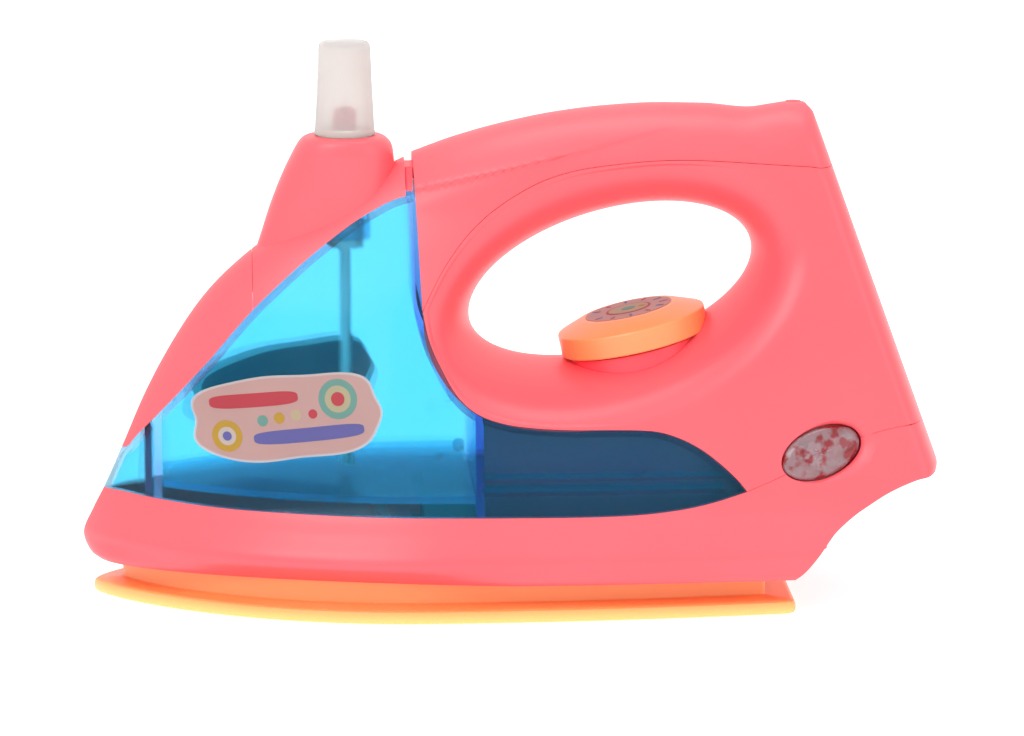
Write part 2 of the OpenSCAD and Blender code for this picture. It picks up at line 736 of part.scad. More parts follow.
// An inner wall on each side closes off the machinery behind the rear of the tank
inner_wall_share = 0.585;
inner_wall_y = inner_wall_share * half_w;
inner_wall_t = 1.2;
inner_wall_top_share = 0.295;
inner_wall_setback = 3;
inner_wall_front_x = bulkhead_x + inner_wall_setback;
inner_wall_end_share = 0.490;
inner_wall_l = along(inner_wall_end_share) - inner_wall_front_x;
inner_wall_foot_z = base_floor_z + shell_t / 2;
inner_wall_h = level_z(inner_wall_top_share) - inner_wall_foot_z;
inner_wall_gap = 0.3;
module inner_wall_area() intersection() {
    translate([inner_wall_front_x, inner_wall_foot_z]) square([inner_wall_l, inner_wall_h]);
    union() {
        base_area();
        for (drop = [0, hollow_drop]) translate([0, -drop])
            offset(delta = -tank_t - seam_gap / 2 - inner_wall_gap) window_area();
    }
}
module base_hollow_area() {
    intersection() {
        for (rise = [0, hollow_drop]) translate([0, rise]) offset(delta = -shell_t) base_area();
        translate([-overall_l, base_deck_z]) square([2 * overall_l, crest_h]);
    }
}
lip_t = 1.4;
lip_h = 8;
lip_foot_z = floor_z - lip_h;
module base_inner_parts() {
    intersection() {
        body_solid(shell_t / 2);
        union() {
            at_sole_screws() cylinder(d = boss_d, h = sole_seat_z + sole_screw_l + screw_tip_room, $fn = 24);
            at_board_posts() cylinder(d = post_d, h = board_z, $fn = 20);
        }
        across() inside_seams() base_area();
    }
    for (side = [-1, 1]) translate([0, side * inner_wall_y + inner_wall_t / 2, 0]) rotate([90, 0, 0])
        linear_extrude(height = inner_wall_t) inner_wall_area();
    difference() {
        union() {
            intersection() {
                body_solid(shell_t - seam_gap);
                translate([-half_l, -half_w, lip_foot_z])
                    cube([half_l + bulkhead_x - tank_t, overall_w, tank_foot_z - seam_gap - lip_foot_z]);
            }
            intersection() {
                body_solid(tank_t + floor_gap);
                translate([front_wall_x + floor_gap, -half_w, lip_foot_z + lip_t])
                    cube([bulkhead_x - tank_t - front_wall_x - 2 * floor_gap, overall_w, lip_h - lip_t]);
            }
        }
        body_solid(tank_t + floor_gap + lip_t);
    }
}

module base_housing() color([1.0, 0.44, 0.48]) {
    difference() {
        union() {
            difference() {
                intersection() {
                    body_solid();
                    across() inside_seams() base_area();
                }
                intersection() {
                    body_solid(shell_t);
                    across() base_hollow_area();
                }
            }
            base_inner_parts();
        }
        linear_extrude(height = base_floor_z) sole_outline(sole_step_inset - sole_fit_gap);
        case_block(case_fit_gap, base_deck_z + over);
        at_sole_screws()
            cylinder(d = screw_d + 2 * bite_gap, h = sole_seat_z + sole_screw_l + screw_tip_room / 2, $fn = 20);
        at_board_posts() translate([0, 0, board_z - board_screw_l])
            cylinder(d = board_screw_d + 2 * bite_gap, h = crest_h, $fn = 20);
        for (side = [-1, 1]) lamp_hole(side);
    }
}

// The dial and its bush, along the dial's own axis
module at_dial(h = 0) translate([dial_x, 0, dial_z]) rotate([0, -dial_tilt, 0]) translate([0, 0, h]) children();
dial_foot = -dial_rim_h / 2;
dial_top = dial_rim_h / 2 + dial_slope_h;
bush_top = dial_foot - dial_rise;
bush_plate_t = 2;
bush_skirt_l = 8.5;
bush_wall_t = 1.6;
bush_flange_w = 1.8;
bush_flange_t = 1.4;
bush_hole_gap = 0.25;
bush_tube_t = 2;
bush_bore_d = dial_stem_d + 2 * dial_fit_gap;
bush_foot = bush_top - bush_skirt_l;
dial_screw_l = 8;
wiper_t = 0.4;
wiper_d = 13;
plate_t = 1.2;
plate_d = 25;
plate_drop = 3;
plate_post_d = 2.6;
plate_z = -dial_stem_l - plate_drop;

dial_room = 0.4;
module dial_hole() {
    at_dial(bush_foot) cylinder(d = bush_d + 2 * bush_hole_gap, h = bush_skirt_l + 2 * dial_rim_h, $fn = 48);
    at_dial(bush_top) cylinder(d = dial_d + 2 * dial_room, h = bush_skirt_l, $fn = 48);
}

module dial_knob() color([1.0, 0.66, 0.42]) at_dial() {
    r = dial_d / 2;
    rotate_extrude($fn = 96) polygon([
        [0, dial_top], [dial_top_d / 2, dial_top], [r, dial_rim_h / 2], [r, dial_foot],
        [r - dial_t, dial_foot], [r - dial_t, dial_rim_h / 2 - dial_t / 2],
        [dial_top_d / 2, dial_top - dial_t], [dial_stem_d / 2, dial_top - dial_t],
        [dial_stem_d / 2, -dial_stem_l], [screw_d / 2, -dial_stem_l],
        [screw_d / 2, dial_screw_l - dial_stem_l], [0, dial_screw_l - dial_stem_l]]);
}
module dial_disc() color([0.95, 0.62, 0.60]) at_dial(dial_top) cylinder(d = dial_disc_d, h = label_t, $fn = fine);
module dial_bush() color([1.0, 0.36, 0.41]) at_dial() {
    r = bush_d / 2;
    rotate_extrude($fn = 96) polygon([
        [bush_bore_d / 2, bush_top], [r, bush_top], [r, bush_foot],
        [r + bush_flange_w, bush_foot], [r + bush_flange_w, bush_foot - bush_flange_t],
        [r - bush_wall_t, bush_foot - bush_flange_t], [r - bush_wall_t, bush_top - bush_plate_t],
        [bush_bore_d / 2 + bush_tube_t, bush_top - bush_plate_t],
        [bush_bore_d / 2 + bush_tube_t, dial_rise - dial_stem_l],
        [bush_bore_d / 2, dial_rise - dial_stem_l]]);
    for (a = [0 : 120 : 240]) rotate([0, 0, a]) translate([plate_d / 2 - plate_post_d / 2, 0, plate_z])
        cylinder(d = plate_post_d, h = bush_top - bush_plate_t / 2 - plate_z, $fn = fine);
}
module dial_wiper() color([0.85, 0.68, 0.35]) at_dial(-dial_stem_l - wiper_t) ring(wiper_d, screw_d, wiper_t);
module dial_screw() color([0.75, 0.76, 0.78]) {
    at_dial(-dial_stem_l - wiper_t + dial_screw_l) mirror([0, 0, 1]) screw(dial_screw_l);
}
module switch_plate() color([0.55, 0.42, 0.25]) at_dial(plate_z - plate_t) cylinder(d = plate_d, h = plate_t, $fn = fine);

// The oval lamp windows
lens_turn = 11;
lens_y = half_width(lens_x, lens_z) - lens_sink;
lens_points = 40;
cup_t = 1;
cup_gap = 0.1;
cup_rim_w = 1.4;
cup_z = -lens_t - cup_gap;
led_gap = 0.1;
led_l = 6;
module at_lamp(side) {
    mirror([0, side < 0 ? 1 : 0, 0]) translate([lens_x, lens_y, lens_z])
        rotate([0, 0, -lens_turn]) rotate([lens_lean - 90, 0, 0]) rotate([0, 0, -lens_tilt]) children();
}
module oval(grow = 0) polygon([for (k = [0 : lens_points - 1])
    let (a = 360 * k / lens_points) [(lens_l / 2 + grow) * cos(a), (lens_h / 2 + grow) * sin(a)]]);
module lamp_hole(side) at_lamp(side) {
    translate([0, 0, -cup_depth]) linear_extrude(height = 2 * cup_depth) oval(lens_gap);
    translate([0, 0, -2 * cup_depth]) linear_extrude(height = 2 * cup_depth + cup_z + cup_gap / 2) oval(cup_rim_w + lens_gap);
}
slice_t = 0.2;
dome_shares = [[0, 0.00], [0.25, 0.55], [0.5, 0.86], [0.75, 1.00]];
module lens(side) color([0.85, 0.72, 0.74, 0.6]) at_lamp(side) hull() {
    translate([0, 0, -lens_t]) linear_extrude(height = lens_t) oval();
    for (s = dome_shares) translate([0, 0, s[1] * lens_dome - slice_t]) linear_extrude(height = slice_t)
        oval(-s[0] * lens_h / 2);
}
module lens_left() lens(-1);
module lens_right() lens(1);
module lamp_cup(side) color([0.78, 0.10, 0.14]) at_lamp(side) difference() {
    union() {
        translate([0, 0, cup_z - cup_t]) linear_extrude(height = cup_t) oval(cup_rim_w);
        translate([0, 0, cup_z - cup_depth]) linear_extrude(height = cup_depth) oval(-lens_gap);
    }
    translate([0, 0, cup_z - cup_depth + cup_t]) linear_extrude(height = cup_depth) oval(-lens_gap - cup_t);
    translate([0, 0, cup_z - cup_depth - over]) cylinder(d = led_d + 2 * led_gap, h = cup_depth, $fn = fine);
}
module lamp_cup_left() lamp_cup(-1);
module lamp_cup_right() lamp_cup(1);
module lamps() color([0.95, 0.93, 0.90]) for (side = [-1, 1])
    at_lamp(side) translate([0, 0, cup_z - cup_depth - led_l + 2 * cup_t]) cylinder(d = led_d, h = led_l, $fn = fine);

module circuit_board() color([0.16, 0.42, 0.22]) difference() {
    translate([board_x - board_l / 2, -board_w / 2, board_z]) cube([board_l, board_w, board_t]);
    at_board_posts() cylinder(d = board_screw_d + 2 * screw_gap, h = crest_h, $fn = fine);
}
module board_screws() color([0.75, 0.76, 0.78]) at_board_posts() {
    translate([0, 0, board_z + board_t - board_screw_l]) cylinder(d = board_screw_d, h = board_screw_l, $fn = fine);
    translate([0, 0, board_z + board_t]) cylinder(d = board_head_d, h = board_head_t, $fn = fine);
}
chip_l = 9;
chip_w = 7;
chip_t = 1.6;
cap_can_d = 5;
cap_can_h = 6;
module board_chips() color([0.10, 0.10, 0.11]) translate([board_x, 0, board_z + board_t]) {
    translate([-chip_l / 2, -chip_w / 2, 0]) cube([chip_l, chip_w, chip_t]);
    translate([-chip_l, chip_w, 0]) cylinder(d = cap_can_d, h = cap_can_h, $fn = fine);
}
sounder_gap = 0.6;
sounder_x = case_x + case_l / 2 + case_flange_w + sounder_gap + sounder_d / 2;
module sounder() color([0.12, 0.12, 0.13]) translate([sounder_x, 0, base_deck_z]) difference() {
    cylinder(d = sounder_d, h = sounder_t, $fn = fine);
    translate([0, 0, sounder_t - shell_t]) cylinder(d = sounder_d - 2 * shell_t, h = 2 * shell_t, $fn = fine);
}

module battery_case() color([0.20, 0.20, 0.22]) difference() {
    union() {
        translate([0, 0, door_t + cell_gap / 2]) case_block(0, case_top_z - door_t - cell_gap / 2);
        translate([0, 0, base_deck_z]) case_block(case_flange_w, case_t);
    }
    translate([0, 0, -over]) case_block(-case_t, case_top_z - case_t + over);
}
cell_reach = (cell_d + cell_gap) / 2;
cell_x = case_x - case_l / 2 + case_t + contact_t + cell_gap;
nub_d = 5;
nub_l = 1.2;
module battery_cells() color([0.30, 0.32, 0.36]) for (side = [-1, 1]) {
    translate([cell_x, side * cell_reach, cell_z]) rotate([0, 90, 0]) {
        cylinder(d = cell_d, h = cell_l - nub_l, $fn = fine);
        cylinder(d = nub_d, h = cell_l, $fn = fine);
    }
}
module battery_contacts() color([0.80, 0.80, 0.78]) {
    for (end = [-1, 1]) translate([case_x + end * (case_l / 2 - case_t) - (end > 0 ? contact_t : 0),
                                   -case_w / 2 + case_t + cell_gap, cell_z - cell_d / 3])
        cube([contact_t, case_w - 2 * case_t - 2 * cell_gap, 2 * cell_d / 3]);
    for (side = [-1, 1])
        translate([cell_x + cell_l + cell_gap, side * cell_reach, cell_z]) rotate([0, 90, 0])
            cylinder(d1 = nub_d, d2 = 2 * nub_d, h = case_x + case_l / 2 - case_t - contact_t - cell_x - cell_l - cell_gap, $fn = fine);
}
module battery_door() color([0.96, 0.64, 0.36]) difference() {
    door_block(0, door_t);
    at_door_screw(-over) cylinder(d = screw_d + 2 * screw_gap, h = door_t + 2 * over, $fn = fine);
    at_door_screw(-over) cylinder(d = screw_head_d + 2 * screw_head_gap, h = over + door_seat_z, $fn = fine);
}
module door_screw() color([0.75, 0.76, 0.78]) {
    at_door_screw(screw_head_sink) cylinder(d = screw_head_d, h = door_head_t, $fn = fine);
    at_door_screw(door_seat_z) cylinder(d = screw_d, h = door_screw_l, $fn = fine);
}

// The mist pump, from the cap down to the dip tube
cap_gap_z = 0.15;
cap_top_h = 1.1;
module spray_cap() color([0.93, 0.91, 0.89, 0.75]) at_pump(turret_h + cap_gap_z) {
    r = cap_d / 2;
    rt = cap_top_d / 2;
    rotate_extrude($fn = 96) polygon([
        [r - cap_t, 0], [r, 0], [rt, cap_h - cap_top_h], [rt - cap_top_h, cap_h], [0, cap_h],
        [0, cap_h - cap_t], [rt - cap_top_h - cap_t / 2, cap_h - cap_t], [rt - cap_t, cap_h - cap_top_h - cap_t],
        [r - cap_t, collar_stand]]);
}
button_edge = 0.7;
nozzle_d = 0.8;
nozzle_depth = 1.2;
module spray_button() color([0.90, 0.45, 0.50]) at_pump(button_z) difference() {
    union() {
        cylinder(d = button_d, h = button_h - button_edge, $fn = fine);
        cylinder(d = button_d - 2 * button_edge, h = button_h, $fn = fine);
    }
    translate([0, 0, button_h - nozzle_depth]) cylinder(d = nozzle_d, h = nozzle_depth + over, $fn = fine);
}
module pump_stem() color([0.92, 0.92, 0.90]) {
    at_pump(piston_z + piston_t) cylinder(d = stem_d, h = button_z - piston_z - piston_t, $fn = fine);
    at_pump(piston_z) cylinder(d = pump_bore_d - 2 * pump_fit_gap, h = piston_t, $fn = fine);
}
spring_turns = 6;
spring_steps = 12;
spring_sides = 6;
spring_rest_gap = 0.1;
spring_d = pump_bore_d - 2 * spring_wire_d;
function spring_ring(k) =
    let (n = spring_turns * spring_steps, a = 360 * k / spring_steps, r = spring_d / 2,
         z = spring_wire_d / 2 + spring_rest_gap
             + (piston_z - spring_z - spring_wire_d - 2 * spring_rest_gap) * k / n)
    [for (j = [0 : spring_sides - 1])
        let (b = 360 * j / spring_sides, w = spring_wire_d / 2)
        [(r + w * cos(b)) * cos(a), (r + w * cos(b)) * sin(a), z + w * sin(b)]];
module pump_spring() color([0.80, 0.81, 0.83]) at_pump(spring_z) {
    n = spring_turns * spring_steps;
    m = spring_sides;
    polyhedron(
        points = [for (k = [0 : n]) each spring_ring(k)],
        faces = concat(
            [[for (j = [0 : m - 1]) j]],
            [[for (j = [m - 1 : -1 : 0]) n * m + j]],
            [for (k = [0 : n - 1], j = [0 : m - 1]) [k * m + j, (k + 1) * m + j, (k + 1) * m + (j + 1) % m]],
            [for (k = [0 : n - 1], j = [0 : m - 1]) [k * m + j, (k + 1) * m + (j + 1) % m, k * m + (j + 1) % m]]));
}
module pump_cylinder() color([0.90, 0.91, 0.90]) at_pump(0) rotate_extrude($fn = fine) polygon([
    [tube_d / 2, pump_foot_z], [pump_d / 2, pump_foot_z], [pump_d / 2, flange_z], [neck_d / 2, flange_z],
    [neck_d / 2, collar_plate_z], [pump_bore_d / 2, collar_plate_z], [pump_bore_d / 2, spring_z],
    [valve_bore_d / 2, spring_z], [valve_bore_d / 2, valve_z], [tube_d / 2, valve_z]]);
module pump_collar() color([0.93, 0.92, 0.90]) at_pump(0) rotate_extrude($fn = fine) polygon([
    [neck_d / 2 + collar_skirt_gap, collar_plate_z - collar_skirt_h],
    [neck_d / 2 + collar_skirt_gap + collar_t, collar_plate_z - collar_skirt_h],
    [neck_d / 2 + collar_skirt_gap + collar_t, collar_plate_z + collar_plate_t / 2],
    [collar_top_d / 2, collar_plate_z + collar_plate_t], [collar_top_d / 2, collar_top_z],
    [guide_d / 2, collar_top_z], [guide_d / 2, collar_plate_z + collar_plate_t],
    [stem_bore_d / 2, collar_plate_z + collar_plate_t], [stem_bore_d / 2, collar_plate_z],
    [neck_d / 2 + collar_skirt_gap, collar_plate_z]]);
module neck_gasket() color([0.15, 0.15, 0.16]) at_pump(neck_h) ring(neck_d, neck_bore_d, gasket_t);
module valve_ball() color([0.85, 0.86, 0.88]) at_pump(valve_z + ball_d / 2) sphere(d = ball_d, $fn = fine);
tube_seat_gap = 1;
tube_top_z = valve_z - tube_seat_gap;
tube_foot_z = floor_z + floor_t + tube_foot_gap;
module dip_tube() color([0.92, 0.94, 0.95, 0.7]) {
    at_pump(tube_foot_z) ring(tube_d, tube_d - 2 * tube_t, tube_top_z - tube_foot_z);
}

// A plain printed label on each side of the tank
label_lobe_share = 0.62;
label_stand = 0.02;
module label_area() translate([-label_x, label_z]) rotate([0, 0, label_tilt]) {
    offset(r = label_h / 4) offset(delta = -label_h / 4) union() {
        translate([-label_l / 2, -label_h / 2]) square([label_l, label_h * label_lobe_share]);
        translate([-label_l / 2 + label_h / 3, -label_h / 2 + label_h / 4]) square([label_l - label_h, label_h * 3 / 4]);
    }
}
module label(side) color([0.98, 0.75, 0.76]) intersection() {
    difference() {
        body_solid(-label_stand - label_t);
        body_solid(-label_stand);
    }
    across() label_area();
    translate([-half_l, side > 0 ? 0 : -half_w, 0]) cube([overall_l, half_w, crest_h]);
}
module label_left() label(-1);
module label_right() label(1);

soleplate();
sole_screws();
base_housing();
tank_shell();
tank_floor();
nose_cover();
spray_turret();
handle_cover();
body_left();
body_right();
body_screws();
label_left();
label_right();
spray_cap();
spray_button();
pump_stem();
pump_spring();
pump_cylinder();
pump_collar();
neck_gasket();
valve_ball();
dip_tube();
dial_knob();
dial_disc();
dial_bush();
dial_wiper();
dial_screw();
switch_plate();
lens_left();
lens_right();
lamp_cup_left();
lamp_cup_right();
lamps();
circuit_board();
board_chips();
board_screws();
sounder();
battery_case();
battery_cells();
battery_contacts();
battery_door();
door_screw();
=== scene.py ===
import math

import bpy
import numpy as np
from mathutils import Matrix, Vector


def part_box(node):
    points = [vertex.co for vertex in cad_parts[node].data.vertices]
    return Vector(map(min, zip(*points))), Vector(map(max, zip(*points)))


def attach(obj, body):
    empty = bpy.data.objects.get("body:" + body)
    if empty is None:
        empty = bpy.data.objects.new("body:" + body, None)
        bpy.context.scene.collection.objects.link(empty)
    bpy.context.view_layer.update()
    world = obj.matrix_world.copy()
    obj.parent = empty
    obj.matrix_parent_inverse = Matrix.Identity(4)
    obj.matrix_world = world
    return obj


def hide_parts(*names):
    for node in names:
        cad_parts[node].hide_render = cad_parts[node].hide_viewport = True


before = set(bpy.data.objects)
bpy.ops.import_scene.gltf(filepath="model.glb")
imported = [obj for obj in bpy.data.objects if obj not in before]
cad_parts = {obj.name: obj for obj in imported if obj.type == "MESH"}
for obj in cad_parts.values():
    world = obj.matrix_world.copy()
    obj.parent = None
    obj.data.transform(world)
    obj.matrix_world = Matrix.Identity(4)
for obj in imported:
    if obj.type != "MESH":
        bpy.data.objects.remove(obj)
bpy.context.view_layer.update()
MM = 0.001

# Camera: a long lens looks a little down on the near side of the iron, with the nose on the left.
# The picture is 1024 wide, and one millimetre at the iron's middle is 4.385 pixels.
aim = Vector((0.9, 0.0, 50.7)) * MM
camera_turn = math.radians(3.0)
camera_drop = math.radians(10.5)
camera_distance = 1.5
pixels_per_mm, picture_width = 4.385, 1024
sensor_width = 36
view_line = Vector((math.sin(camera_turn) * math.cos(camera_drop),
                    math.cos(camera_turn) * math.cos(camera_drop), -math.sin(camera_drop)))
bpy.ops.object.camera_add(location=aim - camera_distance * view_line)
camera = bpy.context.object
camera.rotation_euler = view_line.to_track_quat("-Z", "Y").to_euler()
camera.data.sensor_width = sensor_width
camera.data.lens = pixels_per_mm * camera_distance / MM * sensor_width / picture_width
camera.data.clip_end = 20
bpy.context.scene.camera = camera


# Floor and backdrop: one plain white sheet a hair under the sole, far larger than the view.
# It glows by itself, so that only a faint contact shadow is left on it.
def set_sockets(node, values):
    for socket, value in values.items():
        node.inputs[socket].default_value = value


floor_drop = 0.2
bpy.ops.mesh.primitive_plane_add(size=12, location=(0, 0, -floor_drop * MM))
floor = bpy.context.object
floor.name = "floor"
pale_floor = bpy.data.materials.new("pale_floor")
pale_floor.use_nodes = True
set_sockets(pale_floor.node_tree.nodes["Principled BSDF"], {
    "Base Color": (0.6, 0.6, 0.6, 1), "Roughness": 0.9,
    "Emission Color": (1, 1, 1, 1), "Emission Strength": 0.7})
floor.data.materials.append(pale_floor)

# Studio light: a broad soft box above the near side, a fill from the heel side and a top light,
# in a white room that lights the rest evenly.
room = bpy.data.worlds.new("white_room")
room.use_nodes = True
set_sockets(room.node_tree.nodes["Background"], {"Color": (1, 1, 1, 1), "Strength": 1.0})
bpy.context.scene.world = room


def soft_box(name, place, width, height, power):
    bpy.ops.object.light_add(type="AREA", location=place)
    box = bpy.context.object
    box.name = name
    box.data.shape = "RECTANGLE"
    box.data.size = width
    box.data.size_y = height
    box.data.energy = power
    box.rotation_euler = (aim - Vector(place)).to_track_quat("-Z", "Y").to_euler()


soft_box("key_box", (-0.55, -0.85, 0.95), 0.8, 0.6, 7.0)
soft_box("fill_box", (0.9, -0.7, 0.5), 0.6, 0.6, 1.5)
soft_box("top_box", (0.05, 0.1, 1.2), 0.9, 0.5, 4.0)
bpy.context.scene.view_settings.view_transform = "Standard"


# The body's outer surface: every outer shell is cut from this one form, so its half width is written
# once, as level curves with the nose reach, the widest place and the heel's rounded corner.
def unit(share):
    return np.clip(share, 0, 1)


def smooth_through(places, values):
    """A curve through the values that doesn't swing past them."""
    px, py = np.array(places, float), np.array(values, float)
    step = np.diff(px)
    slope = np.diff(py) / step
    tangent = np.concatenate([slope[:1], np.zeros(len(slope) - 1), slope[-1:]])
    for i in range(1, len(slope)):
        if slope[i - 1] * slope[i] > 0:
            near, far = 2 * step[i] + step[i - 1], step[i] + 2 * step[i - 1]
            tangent[i] = (near + far) / (near / slope[i - 1] + far / slope[i])

    def at(x):
        x = np.clip(x, px[0], px[-1])
        i = np.clip(np.searchsorted(px, x) - 1, 0, len(step) - 1)
        t = (x - px[i]) / step[i]
        return ((1 + 2 * t) * (1 - t) ** 2 * py[i] + t * (1 - t) ** 2 * step[i] * tangent[i]
                + t * t * (3 - 2 * t) * py[i + 1] + t * t * (t - 1) * step[i] * tangent[i + 1])
    return at


# height, nose reach and half width of the front and lower body
lip_low, belly_low = 8.5, 13.6
body_levels = [
    (lip_low, -93.9, 40), (9.8, -95.6, 41.4), (belly_low, -97, 42.5), (19.2, -94.8, 39.8),
    (23.7, -92.5, 36.8), (34.2, -87.8, 33.4), (46.2, -82.6, 29.4), (59.2, -75.5, 24.8),
    (69.2, -68.4, 21.4), (79.2, -57.7, 18), (89.2, -42, 15.6), (96.2, -30.5, 14.4),
    (102.2, -18, 13)]
level_heights = [row[0] for row in body_levels]
nose_reach, widest_half = (smooth_through(level_heights, [row[i] for row in body_levels])
                           for i in (1, 2))
widest_place = smooth_through([lip_low, belly_low, 23.7, 59.2, 89.2, 102.2],
                              [-17.5, -17.5, -16.5, -10, 2, 15])
# fullness of the nose, from 0.5 for an oval to nearly 1 for a pointed one
nose_power = smooth_through([lip_low, belly_low, 24, 34.2, 46.2, 59.2, 69.2, 79.2],
                            [.76, .76, .86, .80, .70, .62, .55, .5])
# nose reach and half width for the handle, which closes by its crown and not by its nose
handle_low, handle_mid_top = 59.2, 89.2
handle_heights = [handle_low, 69.2, 79.2, handle_mid_top, 99.2, 113.2]
handle_reach = smooth_through(handle_heights, [-75.5, -68.4, -57.7, -42, -33, -25])
handle_half = smooth_through(handle_heights, [24.8, 21.4, 18, 15.6, 14.3, 13.3])
crest_line = smooth_through(
    [-23, -12, -0.5, 10.5, 22, 33.5, 44.5, 54.5, 60, 64.5, 67, 68.6],
    [100.4, 104.3, 107.4, 109.6, 111.0, 111.6, 111.4, 110.5, 111.2, 111.8, 111.6, 110.0])
heel_corner = 6.0
heel_taper = 0.2
heel_back, heel_lean, lean_low = 97.0, 0.357, 31.7
crown_depth = 12.0


def heel_reach(z):
    return heel_back - heel_lean * np.maximum(z - lean_low, 0)


def half_width(x, z, inset=0.0, handle=False):
    if handle:
        nose = np.where(z < handle_low, nose_reach(z), handle_reach(z))
        wide = np.where(z < handle_low, widest_half(z), handle_half(z))
        mid = widest_place(np.minimum(z, handle_mid_top))
    else:
        nose, wide, mid = nose_reach(z), widest_half(z), widest_place(z)
    nose, wide, heel = nose + inset, wide - inset, heel_reach(z) - inset
    fore = unit((mid - x) / (mid - nose))
    aft = unit((x - mid) / (heel - mid))
    side = wide * (1 - fore ** 2) ** nose_power(z) * (1 - heel_taper * aft ** 2)
    if handle:
        depth = unit((crest_line(x) - inset - z) / crown_depth)
        return side * np.sqrt(1 - (1 - depth) ** 2)
    # the lip at the foot has a fuller nose than the belly above it
    near = unit((belly_low - z) / (belly_low - lip_low))
    near = near * near * (3 - 2 * near)
    lip = wide * (1 - unit(x / nose) ** 1.2) ** 0.45
    lip = lip * (1 - heel_taper * unit(x / heel) ** 2)
    return side + (lip - side) * near


def round_heel(turn):
    """How far the heel's corner reaches back, and its share of the half width, by angle."""
    return heel_corner * np.sin(turn) ** (2 / 3), unit(np.cos(turn)) ** (2 / 3)


def shaped_grid(name, across, along, place):
    """A grid that runs 0 to 1 both ways, with each vertex put at place(u, v) in millimetres."""
    bpy.ops.mesh.primitive_grid_add(x_subdivisions=across, y_subdivisions=along, size=2)
    piece = bpy.context.object
    piece.name = name
    flat = np.zeros(len(piece.data.vertices) * 3)
    piece.data.vertices.foreach_get("co", flat)
    flat = flat.reshape(-1, 3)
    x, y, z = place(np.round((flat[:, 0] + 1) / 2, 6), np.round((flat[:, 1] + 1) / 2, 6))
    shaped = np.stack([x, y, z], axis=1) * MM
    piece.data.vertices.foreach_set("co", shaped.ravel())
    piece.data.update()
    return piece


def pick(piece, *others):
    """Selects these pieces alone and makes the first one active."""
    bpy.ops.object.select_all(action="DESELECT")
    for each in (piece, *others):
        each.select_set(True)
    bpy.context.view_layer.objects.active = piece


def in_edit(piece):
    pick(piece)
    bpy.ops.object.mode_set(mode="EDIT")
    bpy.ops.mesh.select_all(action="SELECT")


def turn_out():
    """Turns all faces of the mesh in edit out and leaves it."""
    bpy.ops.mesh.select_all(action="SELECT")
    bpy.ops.mesh.normals_make_consistent(inside=False)
    bpy.ops.object.mode_set(mode="OBJECT")


def merge_seams(piece, merge=0.01, close=False):
    """Merges vertices that meet, fills open ends if asked, and turns the faces out."""
    in_edit(piece)
    bpy.ops.mesh.remove_doubles(threshold=merge * MM)
    if close:
        bpy.ops.mesh.select_all(action="DESELECT")
        bpy.ops.mesh.select_mode(type="EDGE")
        bpy.ops.mesh.select_non_manifold(extend=False, use_wire=False, use_multi_face=False,
                                         use_non_contiguous=False, use_verts=False)
        bpy.ops.mesh.fill_holes(sides=0)
    turn_out()


def body_block(name, inset, low, high, rows):
    """The body as a solid between two heights, with its skin inset."""
    # shares of half the way round where the nose curve and the straight side end
    nose_end, side_end = 0.42, 0.88

    def place(u, v):
        belly_share = min(0.3, 8.0 / (high - low)) if low < belly_low else 0.3
        z = low + (high - low) * np.interp(v, [0, 0.3, 1], [0, belly_share, 1])
        half = 1 - np.abs(2 * u - 1)
        side = np.where(u < 0.5, 1.0, -1.0)
        nose, heel = nose_reach(z) + inset, heel_reach(z) - inset
        mid = widest_place(z)
        fore = unit(half / nose_end) * math.pi / 2
        along = unit((half - nose_end) / (side_end - nose_end))
        turn = unit((half - side_end) / (1 - side_end)) * math.pi / 2
        corner = heel - heel_corner
        x = np.where(half < nose_end, mid - (mid - nose) * np.cos(fore), mid + (corner - mid) * along)
        back, share = round_heel(turn)
        x = np.where(half > side_end, corner + back, x)
        y = half_width(np.minimum(x, corner), z, inset)
        y = np.where(half > side_end, y * share, y)
        return x, side * np.maximum(y, 0), z
    block = shaped_grid(name, 200, rows, place)
    merge_seams(block, close=True)
    return block


def through(points, steps=6):
    """A smooth open line through points of the side view."""
    p = np.array(points, float)
    p = np.vstack([2 * p[0] - p[1], p, 2 * p[-1] - p[-2]])
    line = []
    for a, b, c, d in zip(p, p[1:], p[2:], p[3:]):
        for t in np.arange(steps) / steps:
            line.append(0.5 * (2 * b + (c - a) * t + (2 * a - 5 * b + 4 * c - d) * t * t
                               + (3 * b - a - 3 * c + d) * t ** 3))
    return np.array(line + [p[-2]])


def drawn_in(outline, gap):
    """The closed outline moved inwards by gap."""
    p = np.array(outline, float)
    area = np.sum(p[:, 0] * np.roll(p[:, 1], -1) - np.roll(p[:, 0], -1) * p[:, 1])
    edge = np.roll(p, -1, axis=0) - p
    edge /= np.linalg.norm(edge, axis=1)[:, None]
    inward = np.stack([-edge[:, 1], edge[:, 0]], axis=1) * (1 if area > 0 else -1)
    both = inward + np.roll(inward, 1, axis=0)
    both /= np.maximum(np.sum(both * both, axis=1), 0.5)[:, None] / 2
    return p + both * gap


def slab_from(corners, push):
    """A flat outline, as corners in millimetres, pushed out into a slab."""
    bpy.ops.mesh.primitive_circle_add(vertices=len(corners), fill_type="NGON")
    slab = bpy.context.object
    for vertex, corner in zip(slab.data.vertices, corners):
        vertex.co = [c * MM for c in corner]
    in_edit(slab)
    bpy.ops.mesh.extrude_region_move(TRANSFORM_OT_translate={"value": [c * MM for c in push]})
    turn_out()
    return slab


# how far sideways a cutting tool reaches, past both sides of the body
far_side = 60


def side_slab(outline, near=-far_side, far=far_side):
    """A side view outline as a slab right across the body."""
    return slab_from([(x, near, z) for x, z in outline], (0, far - near, 0))


